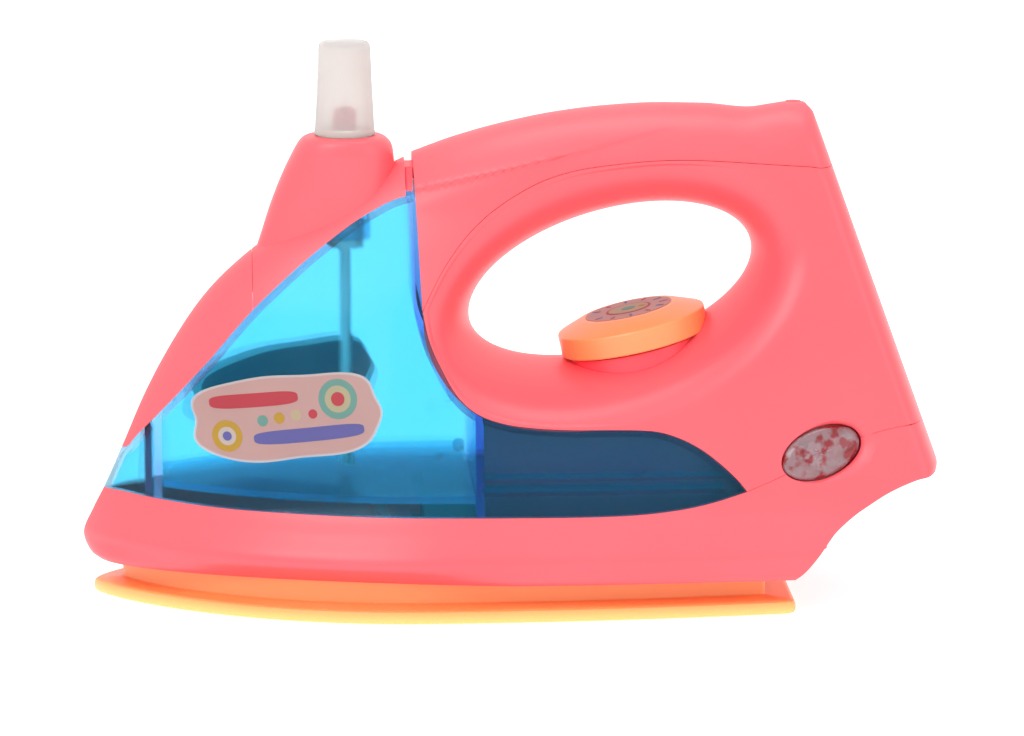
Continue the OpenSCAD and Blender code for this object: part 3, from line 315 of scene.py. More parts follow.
def combine(piece, tool, how="DIFFERENCE", keep_tool=False):
    """Cuts the tool out of the piece, or joins or intersects the two."""
    pick(piece)
    step = piece.modifiers.new("cut", "BOOLEAN")
    step.operation = how
    step.solver = "MANIFOLD"
    step.object = tool
    bpy.ops.object.modifier_apply(modifier=step.name)
    if not keep_tool:
        bpy.data.objects.remove(tool)


def box_tool(low, high):
    bpy.ops.mesh.primitive_cube_add(size=1)
    tool = bpy.context.object
    for vertex in tool.data.vertices:
        vertex.co = [(low[i] if vertex.co[i] < 0 else high[i]) * MM for i in range(3)]
    return tool


def rod_tool(radius, low, high, x=0.0, y=0.0, sides=64, turn=Matrix.Identity(4)):
    bpy.ops.mesh.primitive_cylinder_add(vertices=sides, radius=radius * MM, depth=(high - low) * MM)
    tool = bpy.context.object
    tool.data.transform(Matrix.Translation((0, 0, (high + low) / 2 * MM)))
    tool.data.transform(turn)
    tool.data.transform(Matrix.Translation((x * MM, y * MM, 0)))
    return tool


def finish_edges(piece, angle=32):
    pick(piece)
    bpy.ops.object.shade_smooth_by_angle(angle=math.radians(angle))


# Parting lines of the shells in the side view, in millimetres from the middle of the sole.
# They are snap-fit seams, with a hairline gap between two shells.
seam_gap = 0.1
window_rear = through([
    (52, 28), (49.7, 30.8), (46, 34.2), (41.6, 37.5), (36.6, 40), (31, 41.5), (22, 41.9), (13, 42),
    (3.8, 42.6), (-3, 43.7), (-8.7, 45.9), (-13, 49.8), (-16.6, 56.1), (-19, 61.7), (-20.3, 67.7)])
window_top = through([(-20.3, 67.7), (-20.9, 81.2), (-21.5, 92.9)], 4)
strip_line = through([
    (-21.5, 92.9), (-26.3, 91.4), (-30.6, 89.2), (-35.9, 85.9), (-41.2, 82), (-46.6, 77.6),
    (-51.9, 72.9), (-57.8, 67.2), (-62.7, 61.7), (-67.5, 55.9), (-71.6, 51.3), (-75.2, 47.2),
    (-80.3, 41.5), (-84.7, 36.6), (-87.3, 33.6), (-92, 33.4)])
base_front = through([
    (-103, 24.1), (-92, 24.1), (-87.7, 24.2), (-80.5, 23.9), (-66, 23.6), (-43, 23.7), (-3, 23.4),
    (15, 23.3), (28, 23.6), (38, 24.6), (45, 26), (52, 28)])
heel_line = through([
    (52, 28), (60, 31.2), (69, 35.6), (76, 38.4), (83.8, 40.6), (90, 41.5), (94, 41.6),
    (104, 41.6)])
cover_line = through([
    (-20.3, 67.7), (-16, 75.8), (-11.3, 82.5), (-6.7, 87.3), (-2.1, 90.9), (2.6, 93.8), (7.1, 96),
    (11.9, 97.6), (17, 98.7), (24.5, 99.6), (32, 100.2), (40, 100.3), (49, 99.8), (59, 99),
    (72.5, 98)])
under_line = through([
    (104, 31.6), (96.8, 31.4), (95.3, 30.5), (93.5, 29.9), (90.3, 29.2), (84.5, 26.9), (78.8, 23.7),
    (76, 22), (73, 19.8), (71, 17.9), (67.3, 13.3), (65.1, 10.7), (62.7, 8.5), (60.1, 6.4)])
heel_foot = 41.6
cover_front = -21.9
turret_rear = -23.6
nose_seam = -58.2


# Coral pink shells: satin moulded plastic whose colour and gloss drift a touch in soft clouds,
# with the faint grain of a moulding. The same recipe makes every other finish of the toy.
def moulded_plastic(name, color, deep, roughness=0.4, coat=0.12, glow=0.1, grain_depth=0.02,
                    cloud_scale=22, clear=0.0, bend=1.45, metal=0.0, foot=None):
    finish = bpy.data.materials.new(name)
    finish.use_nodes = True
    nodes, links = finish.node_tree.nodes, finish.node_tree.links
    shader = nodes["Principled BSDF"]
    set_sockets(shader, {
        "Coat Weight": coat, "Coat Roughness": 0.25, "Subsurface Weight": glow,
        "Subsurface Radius": (1.0, 0.35, 0.3), "Subsurface Scale": 0.004,
        "Transmission Weight": clear, "IOR": bend, "Metallic": metal})
    place = nodes.new("ShaderNodeTexCoord")
    cloud = nodes.new("ShaderNodeTexNoise")
    set_sockets(cloud, {"Scale": cloud_scale, "Detail": 2})
    links.new(place.outputs["Object"], cloud.inputs["Vector"])
    tint = nodes.new("ShaderNodeValToRGB")
    for stop, position, shade in zip(tint.color_ramp.elements, (0.3, 0.7), (deep, color)):
        stop.position = position
        stop.color = (*shade, 1)
    links.new(cloud.outputs["Fac"], tint.inputs["Fac"])
    links.new(tint.outputs["Color"], shader.inputs["Base Color"])
    if foot:
        # painted light: the thin foot of the piece is painted in a lighter colour, up to a height, for
        # light glowing through it
        painted_light_color, foot_low, foot_high = foot
        height = nodes.new("ShaderNodeSeparateXYZ")
        links.new(place.outputs["Object"], height.inputs["Vector"])
        rise = nodes.new("ShaderNodeMapRange")
        set_sockets(rise, {"From Min": foot_low * MM, "From Max": foot_high * MM})
        links.new(height.outputs["Z"], rise.inputs["Value"])
        painted_light_mix = nodes.new("ShaderNodeMix")
        painted_light_mix.data_type = "RGBA"
        set_sockets(painted_light_mix, {"A": (*painted_light_color, 1)})
        links.new(rise.outputs["Result"], painted_light_mix.inputs["Factor"])
        links.new(tint.outputs["Color"], painted_light_mix.inputs["B"])
        links.new(painted_light_mix.outputs["Result"], shader.inputs["Base Color"])
    gloss = nodes.new("ShaderNodeMapRange")
    set_sockets(gloss, {"To Min": roughness * 0.85, "To Max": roughness * 1.15})
    links.new(cloud.outputs["Fac"], gloss.inputs["Value"])
    links.new(gloss.outputs["Result"], shader.inputs["Roughness"])
    grain = nodes.new("ShaderNodeTexNoise")
    set_sockets(grain, {"Scale": 900})
    links.new(place.outputs["Object"], grain.inputs["Vector"])
    relief = nodes.new("ShaderNodeBump")
    set_sockets(relief, {"Strength": grain_depth, "Distance": 0.0002})
    links.new(grain.outputs["Fac"], relief.inputs["Height"])
    links.new(relief.outputs["Normal"], shader.inputs["Normal"])
    return finish


coral = moulded_plastic("coral_plastic", (0.98, 0.105, 0.128), (0.95, 0.093, 0.115))
# a deeper red: the dial pedestal's own colour, and painted shade where it fills the notch before the
# grip
red_coral = moulded_plastic("red_coral_plastic", (0.95, 0.07, 0.1), (0.9, 0.06, 0.085))
# painted shade: the pink of the shells made much darker, for inner walls that lie in shade behind the
# tank
painted_shade_coral = moulded_plastic("painted_shade_coral_plastic", (0.36, 0.016, 0.09), (0.3, 0.012, 0.075))


def only_material(piece, material):
    piece.data.materials.clear()
    piece.data.materials.append(material)


def dress(piece, material, body, node, angle=32):
    finish_edges(piece, angle)
    only_material(piece, material)
    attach(piece, body)
    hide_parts(node)


def join_pieces(piece, *others):
    """Joins the other pieces into the first one."""
    pick(piece, *others)
    bpy.ops.object.join()
    return piece


def in_mm(corners):
    return [np.array(corner) / MM for corner in corners]


def refinish(material, *node_names):
    """Gives nodes of the CAD frame a finish of this file."""
    for node_name in node_names:
        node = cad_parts[node_name]
        if not node.material_slots:
            node.data.materials.append(material)
        for slot in node.material_slots:
            slot.material = material


# Base housing: the lower pink shell, moulded in one piece with the deck that the sole screws into.
# Its belly bulges past the sole, and it is cut away in a slope under the heel.
shell = 2.0
clearance = 0.3
deck_low = 9.75
base_housing = body_block("base_shell", 0, lip_low, 45, 56)
under_nose = [(-103, 6.4)]
base_outline = drawn_in(np.vstack([base_front[:-1], heel_line[:-1], [(104, heel_foot)], under_line,
                                   under_nose]), seam_gap / 2)
combine(base_housing, side_slab(base_outline), "INTERSECT")
base_hollow = body_block("hollow", shell, deck_low + shell, 62, 50)
hollow_outline = drawn_in(np.vstack([[(-103, 62), (104, 62)], under_line, under_nose]), shell)
combine(base_hollow, side_slab(hollow_outline), "INTERSECT")
combine(base_housing, base_hollow)
sole_tip, sole_length, sole_half = -94.7, 157.9, 40.4


def sole_edge(inset, count=72):
    """Half of the sole's outline from the tip to the middle of its back edge."""
    tip, back, wide = sole_tip + inset, sole_tip + sole_length - inset, sole_half - inset
    mid = sole_tip + 0.473 * sole_length
    points = []
    for k in range(count + 1):
        turn = math.pi / 2 * k / count
        points.append((mid - (mid - tip) * math.cos(turn), wide * math.sin(turn) ** 1.52))
    corner = max(2.4 - inset * 0.2, 1.2)
    for k in range(1, 13):
        x = mid + (back - corner - mid) * k / 12
        points.append((x, wide * (1 - 0.17 * ((x - mid) / (back - mid)) ** 2)))
    edge = points[-1][1]
    for k in range(1, 7):
        turn = math.pi / 2 * k / 6
        points.append((back - corner + corner * math.sin(turn), edge - corner + corner * math.cos(turn)))
    return points


def sole_ring(inset):
    half = sole_edge(inset)
    return half + [(x, -y) for x, y in reversed(half[1:])]


def sole_slab(inset, low, high):
    return slab_from([(x, y, low) for x, y in sole_ring(inset)], (0, 0, high - low))


socket_inset, socket_low = 6.35, 2
combine(base_housing, sole_slab(socket_inset, socket_low, deck_low))
case_low, case_high = in_mm(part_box("battery_case"))
combine(base_housing, box_tool((*(case_low[:2] - clearance), socket_low),
                               (*(case_high[:2] + clearance), case_high[2] + clearance)))
# four posts under the light and sound board, each on the axis of a screw
board_under = in_mm(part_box("circuit_board"))[0][2]
screws_low, screws_high = in_mm(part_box("board_screws"))
board_head, post_radius, post_bore = 2.2, 2.6, 1.1
for x in (screws_low[0] + board_head, screws_high[0] - board_head):
    for y in (screws_low[1] + board_head, screws_high[1] - board_head):
        post = rod_tool(post_radius, deck_low + 1, board_under, x, y, 32)
        combine(base_housing, post, "UNION")
        bore = rod_tool(post_bore, screws_low[2] - 1, board_under + 1, x, y, 24)
        combine(base_housing, bore)


# The lamp recess: an oval hole cut half in the base and half in the body, with the lens sunk in it.
# Its plane follows the side of the body.
lens_x, lens_z = 69.0, 35.8
lens_long, lens_tall, lens_sunk = 19.0, 10.8, 1.4
lens_seat = float(half_width(lens_x, lens_z)) - lens_sunk
mirror = Matrix.Diagonal((1, -1, 1, 1))


def lamp_matrix(side):
    seat = Matrix.Translation((lens_x * MM, lens_seat * MM, lens_z * MM))
    turn = Matrix.Identity(4)
    for degrees, axis in ((-11, "Z"), (15 - 90, "X"), (-20, "Z")):
        turn = turn @ Matrix.Rotation(math.radians(degrees), 4, axis)
    return seat @ turn if side > 0 else mirror @ (seat @ turn)


def lamp_tool(side, rows):
    """An oval plug round the lamp's axis, as rows of growth and depth, that flares at the surface."""
    def place(u, v):
        turn = 2 * math.pi * u
        row = v * (len(rows) - 1)
        grow = np.interp(row, range(len(rows)), [r[0] for r in rows])
        depth = np.interp(row, range(len(rows)), [r[1] for r in rows])
        return (lens_long / 2 + grow) * np.cos(turn), (lens_tall / 2 + grow) * np.sin(turn), depth
    tool = shaped_grid("cut", 96, len(rows) - 1, place)
    tool.data.transform(lamp_matrix(side))
    merge_seams(tool, close=True)
    return tool


lamp_flare = [
    (0.3, -5.6), (0.3, -0.4), (0.35, 0.3), (0.6, 0.9), (1.1, 1.4), (2.0, 1.9), (3.4, 2.4), (3.4, 9)]
for side in (-1, 1):
    combine(base_housing, lamp_tool(side, lamp_flare))
finish_edges(base_housing)
only_material(base_housing, coral)


def join_in_painted_shade(piece, part):
    """Joins a part of the same moulding that is only seen through the tank, coloured a much darker coral
    as painted shade.
    """
    only_material(part, painted_shade_coral)
    join_pieces(piece, part)


# inner walls behind the rear of the blue window, and a tab in front of the water chamber, both in the
# dark coral of painted shade
inner_wall_y, inner_wall_half = 23.2, 0.6
for side in (-1, 1):
    join_in_painted_shade(base_housing, box_tool((-6.6, side * inner_wall_y - inner_wall_half, 10.7),
                                      (53, side * inner_wall_y + inner_wall_half, 43.5)))
front_tab = body_block("front_tab", 2.6, 20, 40.5, 40)
combine(front_tab, box_tool((-82.9, -30, 21), (-81.2, 30, 39.5)), "INTERSECT")
join_in_painted_shade(base_housing, front_tab)
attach(base_housing, "iron")
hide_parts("base_housing")

# Sole: an orange moulding with a thin flange all round, a step that plugs into the base and
# an open pocket for the battery case. Five screws come up through it.
# painted light: the sole's flange is painted a lighter yellow towards its bottom, for light glowing
# through it
orange = moulded_plastic(
    "orange_plastic", (0.95, 0.36, 0.12), (0.92, 0.32, 0.1), roughness=0.33, coat=0.2, glow=0.25,
    foot=((0.98, 0.62, 0.2), 0.3, 3.0))
flange, step_inset, step_high = 3.2, 6.6, 9.5
sole_rows = [
    (1.0, 0), (0.35, 0.2), (0.08, 0.6), (0, 1.2), (0.05, 2.1), (0.3, 2.75), (0.8, 3.1),
    (1.5, flange), (step_inset - 0.5, flange + 0.15), (step_inset - 0.1, flange + 0.35),
    (step_inset, flange + 0.8), (step_inset, step_high - 0.3), (step_inset + 0.3, step_high)]
rings = np.array([sole_ring(inset) for inset, _ in sole_rows])
ring_count = rings.shape[1]


def sole_place(u, v):
    spot = np.round(u * ring_count).astype(int) % ring_count
    row = np.round(v * (len(sole_rows) - 1)).astype(int)
    return rings[row, spot, 0], rings[row, spot, 1], np.array([z for _, z in sole_rows])[row]


sole = shaped_grid("sole", ring_count, len(sole_rows) - 1, sole_place)
merge_seams(sole, close=True)
combine(sole, sole_slab(step_inset + shell, flange, step_high + 1))
case_wall = 0.3
pocket_low, pocket_high = case_low[:2] - shell - case_wall, case_high[:2] + shell + case_wall
combine(sole, box_tool((*pocket_low, 1), (*pocket_high, step_high)), "UNION")
# bosses round the screws, at the middle of the frame's own screw near each of these places
near_screws = [(-60.1, 0), (-28.1, 24.65), (-28.1, -24.65), (52.4, 18.7), (52.4, -18.7)]
screw_points = np.array([vertex.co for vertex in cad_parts["sole_screws"].data.vertices]) / MM
screw_places = []
for x, y in near_screws:
    near = screw_points[np.hypot(screw_points[:, 0] - x, screw_points[:, 1] - y) < 6, :2]
    if len(near):
        screw_places.append((near.min(axis=0) + near.max(axis=0)) / 2)
door_screw_low, door_screw_high = in_mm(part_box("door_screw"))
door_screw = ((door_screw_low[0] + door_screw_high[0]) / 2, 0)
boss_radius, door_screw_bore, sole_screw_bore, head_bore, head_depth = 3.5, 1.4, 1.6, 2.8, 2.6
for x, y in (*screw_places, door_screw):
    combine(sole, rod_tool(boss_radius, 1, step_high, x, y, 40), "UNION")
combine(sole, box_tool((*(case_low[:2] - case_wall), -1), (*(case_high[:2] + case_wall), step_high + 1)))
# the seat of the battery door and of the tab that its screw goes through
door_low, door_high = in_mm(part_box("battery_door"))
door_overlap, tab_half = 1, 4.5
combine(sole, box_tool((door_low[0] - clearance, door_low[1] - clearance, -1),
                       (case_high[0] + door_overlap + clearance, *(door_high[1:] + clearance))))
combine(sole, box_tool((case_high[0], -tab_half - clearance, -1),
                       (door_high[0] + clearance, tab_half + clearance, door_high[2] + clearance)))
combine(sole, rod_tool(door_screw_bore, -1, 8, *door_screw, 32))
for x, y in screw_places:
    combine(sole, rod_tool(sole_screw_bore, -1, 12, x, y, 32))
    combine(sole, rod_tool(head_bore, -1, head_depth, x, y, 40))
dress(sole, orange, "iron", "soleplate", 28)
refinish(orange, "battery_door")

# Battery compartment: a black case in the sole's pocket with two wrapped dry cells, their plated
# springs and studs, and a door that one screw holds.
black = moulded_plastic(
    "black_plastic", (0.02, 0.02, 0.022), (0.012, 0.012, 0.014), roughness=0.5, glow=0)
wrap = moulded_plastic(
    "cell_wrap", (0.09, 0.1, 0.13), (0.05, 0.055, 0.07), roughness=0.3, coat=0.4, glow=0, metal=0.6)
plated = moulded_plastic(
    "plated_steel", (0.68, 0.68, 0.66), (0.55, 0.55, 0.54), roughness=0.3, coat=0, glow=0,
    cloud_scale=90, metal=1)
zinc = moulded_plastic(
    "zinc_screws", (0.62, 0.63, 0.66), (0.48, 0.49, 0.52), roughness=0.34, coat=0, glow=0,
    cloud_scale=240, metal=1)
refinish(black, "battery_case", "sounder", "board_chips")
refinish(wrap, "battery_cells")
refinish(plated, "battery_contacts")
refinish(zinc, "sole_screws", "body_screws", "door_screw", "board_screws", "dial_screw")

# Light and sound board: a green laminate board on four posts of the base.
# Its chip and can are black, and the lamps are milky with deep red cups behind the windows.
laminate = moulded_plastic(
    "green_board", (0.03, 0.15, 0.05), (0.02, 0.1, 0.035), roughness=0.45, glow=0, cloud_scale=160)
milky = moulded_plastic("lamp_plastic", (0.9, 0.85, 0.8), (0.82, 0.78, 0.74), roughness=0.2, clear=0.3)
deep_red = moulded_plastic(
    "deep_red_plastic", (0.55, 0.02, 0.04), (0.42, 0.012, 0.03), roughness=0.2, coat=0.5, glow=0)
refinish(laminate, "circuit_board")
refinish(milky, "lamps")
refinish(deep_red, "lamp_cup_left", "lamp_cup_right")

# Lamp windows: two clear oval domes with a greyish pink cast, faceted on their inside. Crisp red patches
# in their colour are a painted glint of the red cup behind them.
lens_clear = moulded_plastic(
    "lens_plastic", (0.72, 0.58, 0.62), (0.62, 0.03, 0.05), roughness=0.06, coat=0.6, glow=0,
    cloud_scale=350, clear=0.82, bend=1.35, grain_depth=0)
lens_painted_glint = lens_clear.node_tree.nodes["Color Ramp"].color_ramp.elements
lens_painted_glint[0].position, lens_painted_glint[1].position = 0.4, 0.5
dome_height, lens_thick = 1.9, 1.2


def dome_place(u, v):
    turn = 2 * math.pi * u
    outside = v >= 0.5
    share = np.where(outside, unit((1 - v) / 0.5), unit(v / 0.5))
    ease = np.sin(share * math.pi / 2)
    facets = 0.3 * np.cos(9 * turn) * np.sin(share * math.pi * 4)
    depth = np.where(outside, dome_height * np.sqrt(unit(1 - ease ** 2)),
                     -lens_thick + np.where(share < 0.97, 0.35 + facets, 0))
    return lens_long / 2 * ease * np.cos(turn), lens_tall / 2 * ease * np.sin(turn), depth


for side, name, node in ((-1, "near_lens", "lens_left"), (1, "far_lens", "lens_right")):
    lens = shaped_grid(name, 90, 40, dome_place)
    lens.data.transform(lamp_matrix(side))
    merge_seams(lens, close=True)
    dress(lens, lens_clear, "iron", node, 40)

# Water tank: the clear cyan nose, one moulding with a front wall, a bulkhead, the neck that holds the
# pump and a shallow window that runs back under the grip.
clear_cyan = moulded_plastic(
    "clear_cyan_plastic", (0.06, 0.68, 0.94), (0.04, 0.64, 0.93), roughness=0.06, coat=0.1, glow=0,
    clear=0.95, bend=1.15, grain_depth=0)
cyan_nodes, cyan_links = clear_cyan.node_tree.nodes, clear_cyan.node_tree.links
set_sockets(cyan_nodes["Principled BSDF"], {"Alpha": 0.6})
# long ways through the plastic, as at its edges and bulkheads, turn deep violet blue
edge_tint = cyan_nodes.new("ShaderNodeVolumeAbsorption")
set_sockets(edge_tint, {"Color": (0.4, 0.45, 0.9, 1), "Density": 55})
cyan_links.new(edge_tint.outputs["Volume"], cyan_nodes["Material Output"].inputs["Volume"])
tank_wall, ledge = 1.8, 4.0
tank_top = np.vstack([window_rear[:-1], window_top[:-1], strip_line[:-1], [(-103, 33.4)]])
tank_outline = drawn_in(np.vstack([tank_top, base_front[:-1]]), seam_gap / 2)
inner_outline = drawn_in(np.vstack([tank_top, [(-103, 10), (57, 10), (57, 23)]]), tank_wall)
tank = body_block("water_tank", 0, 21, 97, 100)
combine(tank, side_slab(tank_outline), "INTERSECT")
# the room in front of the water chamber, the chamber, and the window with a ledge at its foot
for low_x, high_x, inset, roofed in (
        (-110, -80.76, tank_wall, True), (-78.96, -8.78, tank_wall, True),
        (-6.98, far_side, tank_wall, True), (-6.98, far_side, tank_wall + ledge, False)):
    space = body_block("hollow", inset, 18, 96, 90)
    if roofed:
        combine(space, side_slab(inner_outline), "INTERSECT")
    combine(space, box_tool((low_x, -far_side, 10), (high_x, far_side, 99)), "INTERSECT")
    combine(tank, space)
pump_x = -37.0
neck_radius, neck_bore, neck_low = 5.8, 4.4, 81.2
neck_top = in_mm(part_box("neck_gasket"))[0][2]
pump_foot = in_mm(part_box("pump_cylinder"))[0][2]
combine(tank, rod_tool(neck_radius, neck_low, neck_top, pump_x), "UNION")
combine(tank, rod_tool(neck_bore, min(pump_foot, neck_low) - 1, 120, pump_x))
# two ribs along the rear window and small moulding bosses inside the wall
rib_space = body_block("rib_space", 0.9, 20, 45, 60)
for side in (-1, 1):
    rib_near, rib_far = sorted((side * 25.7, side * 40))
    for rib_z, rib_t in ((30.6, 0.7), (27.6, 0.9)):
        rib = box_tool((-8.0, rib_near, rib_z), (47, rib_far, rib_z + rib_t))
        combine(rib, rib_space, "INTERSECT", keep_tool=True)
        combine(tank, rib, "UNION")
    for boss_x, boss_z, boss_r in ((-12.6, 38.8, 1.4), (-16.7, 36.2, 0.9), (27.5, 34.3, 2.7)):
        boss_y = float(half_width(boss_x, boss_z))
        lay = (Matrix.Translation((0, side * boss_y * MM, boss_z * MM))
               @ Matrix.Rotation(math.radians(side * 90), 4, "X"))
        combine(tank, rod_tool(boss_r, 0.9, 3.2, boss_x, 0, 40, lay), "UNION")
bpy.data.objects.remove(rib_space)
dress(tank, clear_cyan, "iron", "tank_shell", 30)
refinish(clear_cyan, "tank_floor")

# Mist pump: white collar, cylinder, stem and suction tube, a rose button on top, a bright spring and
# ball inside and a black rubber ring that seals the neck.
natural_white = moulded_plastic(
    "natural_white_plastic", (0.82, 0.81, 0.77), (0.76, 0.75, 0.71), roughness=0.42, glow=0.2)
rose = moulded_plastic("rose_plastic", (0.62, 0.16, 0.22), (0.55, 0.13, 0.18), roughness=0.35)
rubber = moulded_plastic(
    "black_rubber", (0.018, 0.018, 0.02), (0.012, 0.012, 0.014), roughness=0.75, coat=0, glow=0,
    cloud_scale=120)
refinish(natural_white, "pump_collar", "pump_cylinder", "pump_stem", "dip_tube")
refinish(rose, "spray_button")
refinish(plated, "pump_spring", "valve_ball")
refinish(rubber, "neck_gasket")

# Labels: a film on each side of the tank, die cut with a wavy edge and printed with a plain set of
# dots and bars in the toy's own colours.
label_x, label_z = -51.0, 44.2
label_tilt = math.radians(8)
film_colors = {
    "white": (0.66, 0.58, 0.57), "pink": (0.64, 0.4, 0.375), "coral": (0.6, 0.085, 0.11),
    "periwinkle": (0.17, 0.17, 0.46), "mint": (0.2, 0.42, 0.37), "yellow": (0.62, 0.39, 0.07),
    "cream": (0.6, 0.5, 0.33)}
film = {name: moulded_plastic("film_" + name, color, tuple(0.95 * c for c in color), roughness=0.45,
                              coat=0.1, glow=0, cloud_scale=60, clear=0.5, bend=1.1)
        for name, color in film_colors.items()}
# colour, offset from the label's middle, half sizes, squareness and layer
label_prints = [
    ("white", 0, 0, 21, 9, 3.4, 0), ("pink", 0, 0, 20.5, 8.5, 3.4, 1),
    ("periwinkle", 4.5, -4, 12.4, 1.5, 4, 2), ("coral", -6.8, 4.3, 10, 1.5, 4, 2),
    ("mint", 12, 2.9, 4.3, 4.3, 2, 2), ("cream", 12, 2.9, 2.9, 2.9, 2, 3),
    ("coral", 12, 2.9, 1.5, 1.5, 2, 4), ("yellow", -13.8, -3, 3.4, 3.4, 2, 2),
    ("white", -13.8, -3, 2, 2, 2, 3), ("periwinkle", -13.8, -3, 1, 1, 2, 4),
    ("mint", -5.4, -0.2, 1.2, 1.2, 2, 2), ("yellow", -1.6, 0.1, 1.2, 1.2, 2, 2),
    ("cream", 2.2, 0.4, 1.2, 1.2, 2, 2), ("coral", 6, 0.3, 1, 1, 2, 2)]


def film_patch(side, color, dx, dz, long, tall, square, layer):
    # the two lowest layers are the large ones, with the wavy edge
    waves, wave, across, along = (7, 0.025, 96, 16) if layer < 2 else (0, 0.0, 48, 6)

    def place(u, v):
        turn = 2 * math.pi * u
        c, s = np.cos(turn), np.sin(turn)
        round_off = (np.abs(c) ** square + np.abs(s) ** square) ** (-1 / square)
        reach = round_off * (1 + wave * np.cos(waves * turn + 0.6))
        right, up = dx + long * c * reach * v, dz + tall * s * reach * v
        x = label_x + right * math.cos(label_tilt) - up * math.sin(label_tilt)
        z = label_z + right * math.sin(label_tilt) + up * math.cos(label_tilt)
        return x, side * (half_width(x, z) + 0.03 + 0.03 * layer), z
    patch = shaped_grid("film", across, along, place)
    merge_seams(patch)
    if sum(face.normal.y * face.area for face in patch.data.polygons) * side < 0:
        patch.data.flip_normals()
    wall = patch.modifiers.new("film", "SOLIDIFY")
    wall.thickness = 0.00004
    wall.offset = 1
    bpy.ops.object.modifier_apply(modifier=wall.name)
    patch.data.materials.append(film[color])
    return patch


for side, name, node in ((-1, "near_label", "label_left"), (1, "far_label", "label_right")):
    label = join_pieces(*[film_patch(side, *row) for row in label_prints])
    label.name = name
    finish_edges(label, 40)
    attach(label, "iron")
    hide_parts(node)

# Nose cover: a pink strip snapped over the front of the tank, rising from a point at the nose.
strip_rear = (turret_rear, np.interp(turret_rear, strip_line[::-1, 0], strip_line[::-1, 1]))
nose_outline = drawn_in(np.vstack([[strip_rear], strip_line[strip_line[:, 0] < turret_rear][:-1],
                                   [(-103, 33.4), (-103, 113), (turret_rear, 113)]]), seam_gap / 2)
nose_cover = body_block("nose_strip", 0, 23, 102.1, 110)
strip_hollow = body_block("hollow", shell, 16, 100.2, 90)
combine(nose_cover, side_slab(nose_outline), "INTERSECT")
combine(nose_cover, strip_hollow, keep_tool=True)
turret_strip = nose_cover.copy()
turret_strip.data = nose_cover.data.copy()
bpy.context.collection.objects.link(turret_strip)
combine(nose_cover, box_tool((-110, -50, 0), (nose_seam - seam_gap / 2, 50, 120)), "INTERSECT")
dress(nose_cover, coral, "iron", "nose_cover")

# Spray housing: the tall pink turret round the pump, moulded in one with the strip behind it.
# Its sides draw in and flare to a soft foot on the strip.
turret_rows = [
    (104.8, 7.2, 7.2, 7.2), (104.6, 8.6, 8.4, 8.4), (103.9, 9.9, 9.6, 9.2),
    (102.6, 10.9, 10.6, 9.6), (100.8, 11.9, 11.0, 9.8), (95.2, 14.6, 11.3, 9.5),
    (88.2, 17.3, 11.5, 8.9), (83.2, 18.9, 11.6, 8.5), (79.2, 20.2, 11.7, 8.2),
    (73.2, 22, 11.8, 7.8)]
turret_heights = [row[0] for row in turret_rows][::-1]
turret_fore, turret_aft, turret_half = (
    smooth_through(turret_heights, [row[i] for row in turret_rows][::-1]) for i in (1, 2, 3))
turret_low, shoulder_low, turret_top = 73.2, 100.2, 104.8
collar_bore = 6.65


def turret_form(name, inset):
    def place(u, v):
        z = np.interp(v, [0, 0.55, 1], [turret_low, shoulder_low, turret_top])
        turn = 2 * math.pi * u
        c, s = np.cos(turn), np.sin(turn)
        reach = np.where(c > 0, turret_aft(z), turret_fore(z)) - inset
        square = 2 / 2.3
        x = pump_x + reach * np.sign(c) * np.abs(c) ** square
        y = (turret_half(z) - inset) * np.sign(s) * np.abs(s) ** square
        return x, y, z - inset * unit((z - shoulder_low) / 4.6)
    form = shaped_grid(name, 120, 40, place)
    merge_seams(form, close=True)
    return form


turret = turret_form("spray_housing", 0)
combine(turret, side_slab(nose_outline), "INTERSECT")
combine(turret_strip, box_tool((nose_seam + seam_gap / 2, -50, 0), (0, 50, 120)), "INTERSECT")
combine(turret, turret_strip, "UNION")
combine(turret, turret_form("hollow", shell))
combine(turret, strip_hollow)
combine(turret, rod_tool(collar_bore, 96, 112, pump_x))
dress(turret, coral, "iron", "spray_turret", 40)

# Cap: a tapered frosted cap that pushes over the pump's collar, with a thicker crown, a soft shoulder
# and a thin bead at its mouth.
frosted = moulded_plastic(
    "frosted_plastic", (0.84, 0.8, 0.78), (0.8, 0.76, 0.74), roughness=0.42, coat=0.1, clear=0.75,
    bend=1.2, cloud_scale=60)
cap_foot = float(in_mm(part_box("spray_cap"))[0][2])
cap_rows = [
    (6.2, 0.0), (6.9, 0.1), (6.95, 0.5), (6.8, 0.95), (6.72, 1.6), (6.3, 9), (5.94, 17.6),
    (5.9, 18.3), (5.92, 19.4), (5.8, 20.3), (5.4, 20.9), (4.8, 21.15), (3.5, 21.2), (0, 21.2),
    (0, 20.2), (3.6, 20.2), (4.7, 19.8), (5.1, 18.6), (5.15, 17.6), (5.55, 9), (6.0, 1.6),
    (6.2, 0.9), (6.2, 0.0)]


def turned(name, rows, sides, seat=Matrix.Identity(4)):
    """A piece turned round its own axis from rows of radius and height."""
    def place(u, v):
        row = np.round(v * (len(rows) - 1)).astype(int)
        radius, height = np.array(rows)[row].T
        turn = 2 * math.pi * u
        return radius * np.cos(turn), radius * np.sin(turn), height
    piece = shaped_grid(name, sides, len(rows) - 1, place)
    piece.data.transform(seat)
    merge_seams(piece, 0.005)
    return piece


cap = turned("frosted_cap", cap_rows, 96, Matrix.Translation((pump_x * MM, 0, cap_foot * MM)))
dress(cap, frosted, "cap", "spray_cap", 50)

# Handle cover: the pink spine of the grip, a shell over the two body halves.
# It runs back from the gap behind the spray housing to the heel and wraps round its back corner.
back_run = 24.0
cover_low, cover_back = 98.0, 109.2
crest_end = 68.4
skin_wall = 1.8


